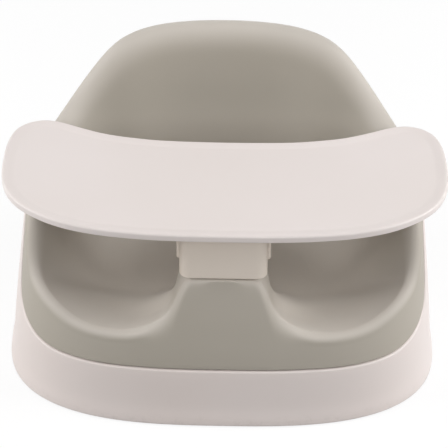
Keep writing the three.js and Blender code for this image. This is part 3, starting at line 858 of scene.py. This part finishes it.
@dataclass
class PostSizes:
    """Sizes of the post, its tongue and its socket, shared by the insert, the base and the tray."""

    centre_y: float = -0.1234
    pommel_top: float = 0.133
    tongue_half_width: float = 0.022
    tongue_half_depth: float = 0.010
    tongue_corner: float = 0.003
    socket_half_width: float = 0.0252
    socket_half_depth: float = 0.0132
    socket_bottom: float = 0.01835
    socket_top: float = 0.128
    flange_half_width: float = 0.036
    flange_half_depth: float = 0.0155
    flange_thickness: float = 0.0045


@dataclass
class FoamInsert:
    """Moulded foam seat: back, side walls, two leg openings and the pommel."""

    form: BodyForm
    post: PostSizes
    columns: int = 520
    outside_rows: int = 22
    inside_rows: int = 64
    edge_steps: int = 9
    roll_rows: int = 10
    crest_rounds: int = 6
    clearance: float = 0.0008
    seam_gap: float = 0.0011
    recess: float = 0.0008
    ledge_round: float = 0.0009
    half_wall: float = 0.011
    roll_share: float = 3.0
    back_roll: float = 0.6
    bowl: Bowl = Bowl()
    seat_height: float = 0.067
    seat_flat_share: float = 0.55
    corner_pull_share: float = 0.72
    pommel_edge: float = 0.0015
    pommel_edge_power: float = 4.0
    steepest_edge: float = 2.6
    edge_slope_step: float = 0.5
    core_half_width: float = 0.022
    core_taper_share: float = 0.12
    flare_start: float = 0.0135
    flare_share: float = 0.6
    flare_most: float = 0.016
    flare_depth: float = 0.020
    core_reach: float = 0.014
    lift_reach: float = 0.050
    lift_depth_share: float = 0.85
    still_rows: int = 2
    waking_rows: int = 6
    smooth_rounds: int = 14
    ease_rounds: int = 90
    flank_turn: float = 17
    flank_spread: float = 10
    flank_rows: float = 16
    tool_depth: float = -0.01
    slot_overlap: float = 0.002
    slot_overrun: float = 0.01

    def lift(self, turn: Array, radii: Array) -> Array:
        """Share of the way to the pommel's top that the foam is lifted at a place.

        It is a table of the distance from the pommel's core, which narrows towards the front. There the
        pommel's foot flares out: sideways distances past the flare's start count for less, up to a limit.

        Args:
            turn: Turns of the places.
            radii: Distances from the centre line.

        Returns:
            The shares.
        """
        x, y, _ = np.moveaxis(self.form.points(turn, radii, 0.0), -1, 0)
        behind = y - self.post.centre_y
        width = self.core_half_width + np.minimum(0, behind) * self.core_taper_share
        across = np.maximum(0, np.abs(x) - width)
        front = np.clip(-behind / self.flare_depth, 0, 1)
        flare = self.flare_share * np.maximum(0, across - self.flare_start)
        across = across - front * self.flare_most * (1 - np.exp(-flare / self.flare_most))
        along = np.maximum(0, behind - self.core_reach) * self.lift_depth_share
        return table_curve(LIFT_REACH_SHARES, LIFT_SHARES, np.hypot(across, along) / self.lift_reach)

    def raised(self, turn: Array, radii: Array, heights: Array) -> tuple[Array, Array]:
        """Places with their height lifted towards the pommel's top."""
        return radii, heights + (self.post.pommel_top - heights) * self.lift(turn, radii)

    def crest_edge(self, turn: Array, half_wall: Array) -> tuple[Array, Array, Array]:
        """Top of the wall with the pommel, its outer rounding and the radius of its shoulder."""
        low = self.form.crest(turn)
        top, edge = low.copy(), half_wall.copy()
        radius = np.zeros_like(low)
        for _ in range(self.crest_rounds):
            radius = self.form.radius(turn, top - edge) - self.recess
            lift = self.lift(turn, radius)
            top = low + (self.post.pommel_top - low) * lift
            edge = half_wall + (self.pommel_edge - half_wall) * lift**self.pommel_edge_power
        return top, edge, radius

    def edge_height(self, turn: Array, half_wall: Array) -> Array:
        """Upright size of the crest's outer rounding, larger where the crest falls steeply."""
        step = self.edge_slope_step
        _, edge, radius = self.crest_edge(turn, half_wall)
        rise = self.crest_edge(turn + step, half_wall)[0] - self.crest_edge(turn - step, half_wall)[0]
        slope = rise / (radius * math.radians(2 * step))
        return edge * np.minimum(np.hypot(1, slope), self.steepest_edge)

    def profile(self, turn: Array) -> tuple[list[Row], int]:
        """Radii and heights of every row, from the underside to the seat.

        Args:
            turn: Turns of the columns.

        Returns:
            The rows as pairs of radii and heights, and the number of the first row above the seam.
        """
        form = self.form
        rim = form.seam(turn)
        side = form.radius(turn, rim) - self.bowl.rim_width - self.clearance
        rows = self.bowl.rows(side, rim, self.post.socket_bottom, (0.35, 0.7), (0.25, 0.5, 0.75, 1))
        ledge = rim + form.seam_gap(turn, self.seam_gap)
        outer = form.radius(turn, ledge + self.ledge_round) - self.recess
        rows.append((side, ledge))
        rows += quarter_rows(outer, self.ledge_round, ledge, self.ledge_round, 5)
        above_seam = len(rows)
        half_wall = self.half_wall * form.round_table(HALF_WALL_TURNS, HALF_WALL_SHARES, turn)
        top, edge, radius = self.crest_edge(turn, half_wall)
        tall = self.edge_height(turn, half_wall)
        wall_start, shoulder = ledge + self.ledge_round, top - tall
        for share in np.linspace(0, 1, self.outside_rows + 1)[1:]:
            height = wall_start + (shoulder - wall_start) * share
            rows.append((form.radius(turn, height) - self.recess, height))
        start = form.radius(turn, shoulder) - self.recess
        reach = start - (radius - edge)
        rows += [
            (start - reach * (1 - math.cos(lean)), top - tall * (1 - math.sin(lean)))
            for lean in quarter(self.edge_steps)[1:-1]
        ]
        rows += self.inside(turn, radius, half_wall)
        return rows, above_seam

    def inside(self, turn: Array, radius: Array, half_wall: Array) -> list[Row]:
        """Rows from the crest down the inner side to the seat.

        The inner side is an arc of an ellipse that rolls over from the crest, and then a cubic Bezier
        curve that takes up the arc's slope and ends level with the seat.

        Args:
            turn: Turns of the columns.
            radius: Radius of the shoulder.
            half_wall: Half of the wall's thickness.

        Returns:
            The rows as pairs of radii and heights.
        """
        low = self.form.crest(turn)
        crest = radius - half_wall
        corner_share = self.form.round_table(SEAT_TURNS, SEAT_CORNER_SHARES, turn)
        corner = self.form.radius(turn, np.zeros_like(turn)) * corner_share
        steep = self.form.round_table(INNER_DROP_TURNS, INNER_DROP_SHARES, turn)
        slope = steep * (low - self.seat_height) / (crest - corner)
        roll = half_wall * (1 + self.back_roll * (2 * steep - 1))
        roll_end = np.arctan(slope * roll / (half_wall * self.roll_share))
        rows = [self.raised(turn, crest, low)]
        r0, z0 = crest, low
        for share in np.linspace(0, 1, self.roll_rows + 1)[1:]:
            lean = roll_end * share
            r0 = crest - roll * np.sin(lean)
            z0 = low - half_wall * self.roll_share * (1 - np.cos(lean))
            rows.append(self.raised(turn, r0, z0))
        seat = np.full_like(turn, self.seat_height)
        flat = corner * self.seat_flat_share
        pull = (r0 - corner) * self.corner_pull_share
        r1, z1 = r0 - pull, z0 - pull * slope
        r2 = flat + (corner - flat) * self.corner_pull_share
        for t in np.linspace(0, 1, self.inside_rows + 1)[1:]:
            a, b, c, d = (1 - t) ** 3, 3 * t * (1 - t) ** 2, 3 * t * t * (1 - t), t**3
            radii = a * r0 + b * r1 + c * r2 + d * flat
            rows.append(self.raised(turn, radii, a * z0 + b * z1 + (c + d) * seat))
        rows += [self.raised(turn, flat * share, seat) for share in SEAT_RING_SHARES]
        return rows

    def build(self) -> Object:
        """The insert with the pocket for the socket and the slot for the tongue."""
        turn = self.form.columns(self.columns)
        rows, above_seam = self.profile(turn)
        rings = self.form.rings(turn, rows)
        row = np.arange(len(rows))
        rise = np.clip((row - above_seam - self.still_rows) / self.waking_rows, 0, 1)
        moving = np.zeros(rings.shape[:2]) + rise[:, None]
        moving[-len(SEAT_RING_SHARES) :] = 0
        crest_row = above_seam + self.outside_rows + self.edge_steps - 1
        flank = np.exp(-(((sideless(turn) - self.flank_turn) / self.flank_spread) ** 4))
        near = np.exp(-(((row - crest_row) / self.flank_rows) ** 4))
        rings = smoothed(rings, moving, self.smooth_rounds, (FORWARD_SHARE, GRID_BACK_SHARE))
        rings = smoothed(rings, near[:, None] * flank * moving, self.ease_rounds, (FORWARD_SHARE,))
        centre = (0, self.form.centre_y)
        obj = capped_grid(
            "foam_seat", rings, (*centre, self.post.socket_bottom), (*centre, self.seat_height)
        )
        post, clear = self.post, self.clearance
        pocket = Block(
            post.socket_half_width + clear, post.socket_half_depth + clear, post.tongue_corner,
            self.tool_depth, post.socket_top + clear,
        )
        recess = Block(
            post.flange_half_width + clear, post.flange_half_depth + clear, post.tongue_corner,
            self.tool_depth, post.socket_bottom + post.flange_thickness + clear,
        )
        slot = Block(
            post.tongue_half_width + clear, post.tongue_half_depth + clear, post.tongue_corner,
            post.socket_top - self.slot_overlap, post.pommel_top + self.slot_overrun,
        )
        tools = [b.upright(f"foam_tool_{n}", post.centre_y) for n, b in enumerate((pocket, recess, slot))]
        return combine(obj, tools, "DIFFERENCE")

    def dress(self, dresser: Dresser) -> None:
        obj = dresser.piece(self.build(), FOAM_FINISH, Slot.FOAM, Body.INSERT, "foam_insert")


@dataclass
class Base:
    """Flared base moulding with its socket, bottom plate, feet and screws."""

    form: BodyForm
    post: PostSizes
    columns: int = 420
    wall: float = 0.003
    bowl: Bowl = Bowl()
    rim_round: float = 0.0024
    bowl_floor: float = 0.018
    floor_gap: float = 0.0008
    foot_round: float = 0.0012
    boss_radius: float = 0.005
    boss_gap: float = 0.0004
    boss_top: float = 0.0165
    hole_radius: float = 0.0021
    hole_overrun: float = 0.002
    socket_hole_ends: tuple[float, float] = (0.010, 0.024)

    def profile(self, turn: Array) -> list[Row]:
        """Radii and heights of every row: bowl, rim, skirt, foot and the hollow behind.

        Args:
            turn: Turns of the columns.

        Returns:
            The rows as pairs of radii and heights.
        """
        form = self.form
        rim = form.seam(turn)
        outer = form.radius(turn, rim)
        side = outer - self.bowl.rim_width
        rows = self.bowl_side(side, rim - self.rim_round, self.bowl_floor)
        rows += [
            (side + self.rim_round * (1 - math.cos(lean)), rim - self.rim_round * (1 - math.sin(lean)))
            for lean in quarter(6)[1:]
        ]
        rows += quarter_rows(outer, self.rim_round, rim, -self.rim_round, 8)
        skirt_top = rim - self.rim_round
        foot = self.floor_gap + self.foot_round
        for share in np.linspace(0, 1, 30)[1:] ** 0.8:
            height = skirt_top + (foot - skirt_top) * share
            rows.append((form.radius(turn, height), height))
        sole = form.radius(turn, np.full_like(turn, foot))
        for lean in quarter(5)[1:]:
            height = foot - self.foot_round * math.sin(lean) + 0 * turn
            rows.append((sole - self.foot_round * (1 - math.cos(lean)), height))
        rows.append((sole - self.wall, self.floor_gap + 0 * turn))
        hollow = rim - self.rim_round - self.wall / 2
        for share in np.linspace(0, 1, 12)[1:]:
            height = foot + (hollow - foot) * share
            rows.append((form.radius(turn, height) - self.wall, height))
        under = self.bowl_side(side + self.wall, hollow - self.wall, self.bowl_floor - self.wall)
        rows.append((side + self.wall, hollow))
        return rows + under[::-1]

    def bowl_side(self, side: Array, top: Array, floor: float) -> list[Row]:
        """Rows from the bowl's floor, round its fillet and up its side."""
        return self.bowl.rows(side, top, floor, (0.3, 0.6, 0.85), (0.33, 0.67, 1))

    def build(self) -> Object:
        """The base moulding with its screw bosses and holes, placed by the CAD's screws."""
        turn = self.form.columns(self.columns)
        rings = self.form.rings(turn, self.profile(turn))
        centre = (0, self.form.centre_y)
        obj = capped_grid(
            "base_moulding", rings, (*centre, self.bowl_floor), (*centre, self.bowl_floor - self.wall)
        )
        plate_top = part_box("bottom_plate")[1][2]
        bottom, top = plate_top + self.boss_gap, self.boss_top
        combine(obj, node_pins("plate_screw", 6, self.boss_radius, bottom, top), "UNION")
        holes = node_pins("plate_screw", 6, self.hole_radius, plate_top - self.hole_overrun, top)
        holes += node_pins("socket_screw", 4, self.hole_radius, *self.socket_hole_ends)
        return combine(obj, holes, "DIFFERENCE")

    def dress(self, dresser: Dresser) -> None:
        """Builds the base moulding and dresses the pieces under it."""
        dresser.piece(self.build(), SHELL_FINISH, Slot.SHELL, Body.BASE, "base_shell")
        dresser.node("tray_socket", HIDDEN_FINISH)
        dresser.node("bottom_plate", HIDDEN_FINISH)
        dresser.row("rubber_foot", 4, RUBBER_FINISH)
        dresser.row("socket_screw", 4, STEEL_FINISH)
        dresser.row("plate_screw", 6, STEEL_FINISH)


@dataclass
class Tray:
    """Tray on its stem, with the two release buttons, the spring clip and the screws."""

    post: PostSizes
    half_width: float = 0.1873
    centre_y: float = -0.0784
    lip: float = 0.180
    underside: float = 0.181
    floor: float = 0.185
    rim: float = 0.1862
    lip_width: float = 0.0032
    lip_round: float = 0.001
    rim_round: float = 0.0019
    rim_foot_inset: float = 0.0115
    outline_steps: int = 480
    outline_rounds: int = 40
    boss_radius: float = 0.0042
    boss_gap: float = 0.00035
    boss_top: float = 0.182
    hole_radius: float = 0.0021
    hole_top: float = 0.1818
    hole_overrun: float = 0.002
    cut_overrun: float = 0.005
    collar_half_width: float = 0.0362
    collar_half_depth: float = 0.019
    collar_corner: float = 0.0095
    collar_wall: float = 0.0026
    collar_floor: float = 0.0034
    collar_gap: float = 0.0006
    collar_round: float = 0.0016
    collar_top_round: float = 0.0004
    tongue_wall: float = 0.002
    tongue_bottom: float = 0.076
    ear_reach: float = 0.018
    ear_half_depth: float = 0.014
    ear_bottom: float = 0.174
    ear_top: float = 0.177
    ear_corner: float = 0.006
    ear_round: float = 0.0006
    window_half_depth: float = 0.006
    window_bottom: float = 0.1012
    window_top: float = 0.114
    window_corner: float = 0.0005
    button_half_depth: float = 0.0085
    button_half_height: float = 0.0118
    button_middle: float = 0.1572
    button_corner: float = 0.004
    button_proud: float = 0.0025
    button_round: float = 0.0022
    button_flange: float = 0.0016
    button_lip: float = 0.0015
    button_flange_round: float = 0.0003
    button_clearance: float = 0.00035

    def outline(self) -> tuple[Array, Array]:
        """Outline of the tray in plan at even steps, and its outward directions.

        A closed Catmull-Rom curve runs through the outline's points and their mirror image. It is then
        sampled at equal lengths and softened along itself.

        Returns:
            Points and unit normals, each steps by two.
        """
        half = np.array(TRAY_OUTLINE_SHARES) * self.half_width
        mirrored = half[-2:0:-1] * np.array([-1, 1])
        knots = np.concatenate([half, mirrored])
        before, after, later = (np.roll(knots, shift, axis=0) for shift in (1, -1, -2))
        t = np.linspace(0, 1, 40, endpoint=False)[None, :, None]
        p0, p1, p2, p3 = (p[:, None, :] for p in (before, knots, after, later))
        square, cube = 2 * p0 - 5 * p1 + 4 * p2 - p3, 3 * p1 - p0 - 3 * p2 + p3
        curve = 0.5 * (2 * p1 + (p2 - p0) * t + square * t**2 + cube * t**3)
        curve = curve.reshape(-1, 2)
        closed = np.concatenate([curve, curve[:1]])
        length = np.concatenate([[0], np.cumsum(np.hypot(*np.diff(closed, axis=0).T))])
        at = np.linspace(0, length[-1], self.outline_steps, endpoint=False)
        points = np.stack([np.interp(at, length, closed[:, axis]) for axis in (0, 1)], axis=-1)
        for _ in range(self.outline_rounds):
            for share in (FORWARD_SHARE, OUTLINE_BACK_SHARE):
                mean = (np.roll(points, 1, axis=0) + np.roll(points, -1, axis=0)) / 2
                points = points + share * (mean - points)
        along = np.roll(points, -1, axis=0) - np.roll(points, 1, axis=0)
        along /= np.hypot(*along.T)[:, None]
        return points, np.stack([along[:, 1], -along[:, 0]], axis=-1)

    def dish(self) -> Object:
        """The tray: rings of the outline moved inward, from the underside round to the floor."""
        points, normals = self.outline()
        round_angles = quarter(6)
        lip = self.lip_round
        profile = [(self.lip_width + lip, self.underside), (self.lip_width, self.underside - lip / 4)]
        profile += [(self.lip_width, self.lip + lip / 2), (self.lip_width - lip / 2, self.lip)]
        profile += [(lip * (1 - math.sin(a)), self.lip + lip * (1 - math.cos(a))) for a in round_angles]
        shoulder = self.rim - self.rim_round
        profile += [(0.0, self.lip + lip + (shoulder - self.lip - lip) * s) for s in (0.35, 0.7)]
        edge = self.rim_round
        profile += [(edge * (1 - math.cos(a)), shoulder + edge * math.sin(a)) for a in round_angles]
        drop = self.rim - self.floor
        for share in np.linspace(0, 1, 18)[1:]:
            fall = (1 - math.cos(math.pi * share)) / 2
            profile.append((edge + (self.rim_foot_inset - edge) * share, self.rim - drop * fall))
        rings = [self.level(points - normals * inset, height) for inset, height in profile]
        under = points - normals * (self.lip_width + self.lip_round)
        foot = points - normals * self.rim_foot_inset
        inner = [self.level(under * share, self.underside) for share in (0.3, 0.6, 0.85)]
        floor = [self.level(foot * share, self.floor) for share in (0.9, 0.75, 0.5, 0.25)]
        middle = (0, self.centre_y)
        return capped_grid(
            "tray_dish", np.array(inner + rings + floor), (*middle, self.underside), (*middle, self.floor)
        )

    def level(self, plan: Array, height: float) -> Array:
        """Ring of the tray at one height, from its points in plan."""
        return np.column_stack([plan[:, 0], plan[:, 1] + self.centre_y, np.full(len(plan), height)])

    def build_tray(self) -> Object:
        """The tray with its four screw bosses."""
        obj = self.dish()
        bosses = node_pins("tray_screw", 4, self.boss_radius, self.ear_top + self.boss_gap, self.boss_top)
        combine(obj, bosses, "UNION")
        holes = node_pins("tray_screw", 4, self.hole_radius, self.ear_bottom, self.hole_top)
        return combine(obj, holes, "DIFFERENCE")

    def build_stem(self) -> Object:
        """The stem: a collar with a hollow tongue, ears, latch windows and the openings for the buttons."""
        post, edge = self.post, self.collar_round
        wall, thin, over = self.collar_wall, self.tongue_wall, self.cut_overrun
        collar_bottom = post.pommel_top + self.collar_gap
        collar_top = self.underside - self.boss_gap
        inside = collar_bottom + self.collar_floor
        width, depth, corner = self.collar_half_width, self.collar_half_depth, self.collar_corner
        blocks = {
            "tray_post": Block(width, depth, corner, collar_bottom, collar_top, edge, self.collar_top_round),
            "ears": Block(
                width + self.ear_reach, self.ear_half_depth, self.ear_corner, self.ear_bottom, self.ear_top,
                self.ear_round, self.ear_round,
            ),
            "tongue": Block(
                post.tongue_half_width, post.tongue_half_depth, post.tongue_corner, self.tongue_bottom,
                collar_bottom + self.collar_floor / 2, edge,
            ),
            "collar_hollow": Block(width - wall, depth - wall, corner - wall, inside, collar_top + over),
            "tongue_hollow": Block(
                post.tongue_half_width - thin, post.tongue_half_depth - thin, post.tongue_corner - thin,
                self.tongue_bottom + thin, inside + self.hole_overrun,
            ),
            "windows": Block(
                post.tongue_half_width + over, self.window_half_depth, self.window_corner, self.window_bottom,
                self.window_top,
            ),
        }
        stem, ears, tongue, *cuts = [block.upright(name, post.centre_y) for name, block in blocks.items()]
        combine(stem, [ears, tongue], "UNION")
        clear = self.button_clearance
        opening = Block(
            self.button_half_height + clear, self.button_half_depth + clear, self.button_corner,
            width - wall - over, width + over,
        )
        for side in (-1, 1):
            cuts.append(opening.sideways(f"opening_{side}", side, post.centre_y, self.button_middle))
        bottom, top = self.ear_bottom - self.hole_overrun, self.ear_top + self.hole_overrun
        cuts += node_pins("tray_screw", 4, self.hole_radius, bottom, top)
        return combine(stem, cuts, "DIFFERENCE")

    def build_button(self, name: str, side: int) -> Object:
        """A release button: a pillowed pad for a fingertip, on a flange inside the collar.

        Args:
            name: Name of the object.
            side: 1 for the right side and -1 for the left.

        Returns:
            The object.
        """
        flange_outer = self.collar_half_width - self.collar_wall - self.button_clearance
        pad = Block(
            self.button_half_height, self.button_half_depth, self.button_corner,
            flange_outer - self.button_flange / 2, self.collar_half_width + self.button_proud,
            0.0, self.button_round,
        )
        flange = Block(
            self.button_half_height + self.button_lip, self.button_half_depth + self.button_lip,
            self.button_corner, flange_outer - self.button_flange, flange_outer,
            self.button_flange_round, self.button_flange_round,
        )
        obj = pad.sideways(name, side, self.post.centre_y, self.button_middle)
        tool = flange.sideways("button_flange", side, self.post.centre_y, self.button_middle)
        return combine(obj, [tool], "UNION")

    def dress(self, dresser: Dresser) -> None:
        """Builds the tray, stem and buttons, and dresses the clip and the screws."""
        dresser.piece(self.build_tray(), TRAY_FINISH, Slot.TRAY, Body.TRAY, "tray_top")
        dresser.piece(self.build_stem(), STEM_FINISH, Slot.TRAY, Body.TRAY, "tray_stem")
        for side, word, body in ((-1, "left", Body.BUTTON_LEFT), (1, "right", Body.BUTTON_RIGHT)):
            pad = self.build_button(f"release_pad_{word}", side)
            dresser.piece(pad, STEM_FINISH, Slot.TRAY, body, f"release_button_{word}")
        dresser.node("latch_clip", STEEL_FINISH)
        dresser.row("tray_screw", 4, STEEL_FINISH)


@dataclass
class Studio:
    """White floor, soft lamps and the camera that looks as the photograph does."""

    elevation: float = 33.5
    distance: float = 1.7
    roll: float = 0.995
    target: Place = (0.0, -0.0364, 0.110)
    image_side: int = 448
    focal_pixels: float = 1958.9
    centre_pixels: tuple[float, float] = (224.01, 231.98)
    floor_reach: float = 6.0
    floor_look: tuple[float, ...] = (0.95, 0.95, 0.95, 1.0)
    floor_bounce: tuple[float, ...] = (0.4, 0.4, 0.4, 1.0)
    floor_glow: float = 1.02
    floor_glow_share: float = 0.8
    dome: float = 0.1
    lamps: tuple[tuple[str, Place, tuple[float, float], float], ...] = (
        ("lamp_front", (0.0, -2.0, 1.2), (2.0, 1.0), 12.5),
        ("lamp_left", (-1.8, -0.3, 1.1), (1.3, 1.2), 29.0),
        ("lamp_left_back", (-1.7, 1.1, 1.0), (1.2, 1.2), 8.0),
        ("lamp_right", (1.8, -0.25, 1.1), (1.3, 1.2), 33.0),
        ("lamp_right_back", (1.7, 1.1, 1.0), (1.2, 1.2), 8.0),
        ("lamp_top", (0.0, 0.2, 2.3), (1.8, 1.2), 3.0),
    )

    def camera(self) -> None:
        """Camera at the photograph's angle: a pinhole whose centre is shifted down the picture."""
        data = bpy.data.cameras.new("camera")
        data.sensor_width = 36.0
        data.lens = self.focal_pixels / self.image_side * data.sensor_width
        data.shift_x = (self.image_side / 2 - self.centre_pixels[0]) / self.image_side
        data.shift_y = (self.centre_pixels[1] - self.image_side / 2) / self.image_side
        data.clip_end = 50.0
        obj = linked("camera", data)
        tilt = math.radians(self.elevation)
        back = Vector((0, -math.cos(tilt), math.sin(tilt)))
        aim = Matrix.Rotation(math.radians(90 - self.elevation), 4, "X")
        roll = Matrix.Rotation(math.radians(self.roll), 4, back)
        place = Matrix.Translation(Vector(self.target) + back * self.distance)
        obj.matrix_world = place @ roll @ aim
        bpy.context.scene.camera = obj

    def floor(self) -> None:
        """Large plain floor: white to the camera, with the object's soft shadow left on it."""
        reach = self.floor_reach
        points = [(-reach, -reach, 0), (reach, -reach, 0), (reach, reach, 0), (-reach, reach, 0)]
        mesh = bpy.data.meshes.new("floor")
        mesh.from_pydata(points, [], [(0, 1, 2, 3)])
        obj = linked("floor", mesh)
        made = bpy.data.materials.new("floor")
        made.use_nodes = True
        tree = made.node_tree
        shader = tree.nodes["Principled BSDF"]
        seen = self.seen(tree)
        colour = mixed(tree, seen, self.floor_bounce, self.floor_look)
        wired(tree, shader, {"Roughness": 0.9, "Specular IOR Level": 0.1, "Base Color": colour})
        glow = add(tree, "Emission", {"Strength": self.floor_glow}).outputs["Emission"]
        share = maths(tree, "MULTIPLY", seen, self.floor_glow_share)
        mix = add(tree, "MixShader", {"Fac": share, 1: shader.outputs["BSDF"], 2: glow})
        wired(tree, tree.nodes["Material Output"], {"Surface": mix.outputs["Shader"]})
        obj.data.materials.append(made)

    @staticmethod
    def seen(tree: Nodes) -> Socket:
        """1 for the rays that show the background: the camera's, and those in gloss and glass."""
        path = tree.nodes.new("ShaderNodeLightPath")
        clear = maths(tree, "MAXIMUM", path.outputs["Is Glossy Ray"], path.outputs["Is Transmission Ray"])
        return maths(tree, "MAXIMUM", path.outputs["Is Camera Ray"], clear)

    def lamp(self, name: str, place: Sequence[float], size: tuple[float, float], power: float) -> None:
        """Area lamp that faces the object."""
        data = bpy.data.lights.new(name, "AREA")
        data.shape = "RECTANGLE"
        data.size, data.size_y = size
        data.energy = power
        obj = linked(name, data)
        here = Vector(place)
        aim = (Vector(self.target) - here).to_track_quat("-Z", "Y")
        obj.matrix_world = Matrix.Translation(here) @ aim.to_matrix().to_4x4()

    def world(self) -> None:
        """Plain world: white to the camera and in reflections, and a dim even light on the object."""
        made = bpy.data.worlds.new("studio")
        bpy.context.scene.world = made
        made.use_nodes = True
        tree = made.node_tree
        strength = maths(tree, "ADD", maths(tree, "MULTIPLY", self.seen(tree), 1 - self.dome), self.dome)
        wired(tree, tree.nodes["Background"], {"Strength": strength, "Color": (1, 1, 1, 1)})

    def build(self) -> None:
        """Camera, floor, lamps and world."""
        self.camera()
        self.floor()
        for lamp in self.lamps:
            self.lamp(*lamp)
        self.world()
        bpy.context.scene.view_settings.view_transform = "Standard"


def main() -> None:
    """Builds the studio and the sub-assemblies in order."""
    logging.basicConfig(level=logging.INFO, format="%(name)s: %(message)s")
    Studio().build()
    dresser = Dresser(SharedEffects.built())
    form, post = BodyForm(), PostSizes()
    Base(form, post).dress(dresser)
    FoamInsert(form, post).dress(dresser)
    Tray(post).dress(dresser)


if __name__ == "__main__":
    main()
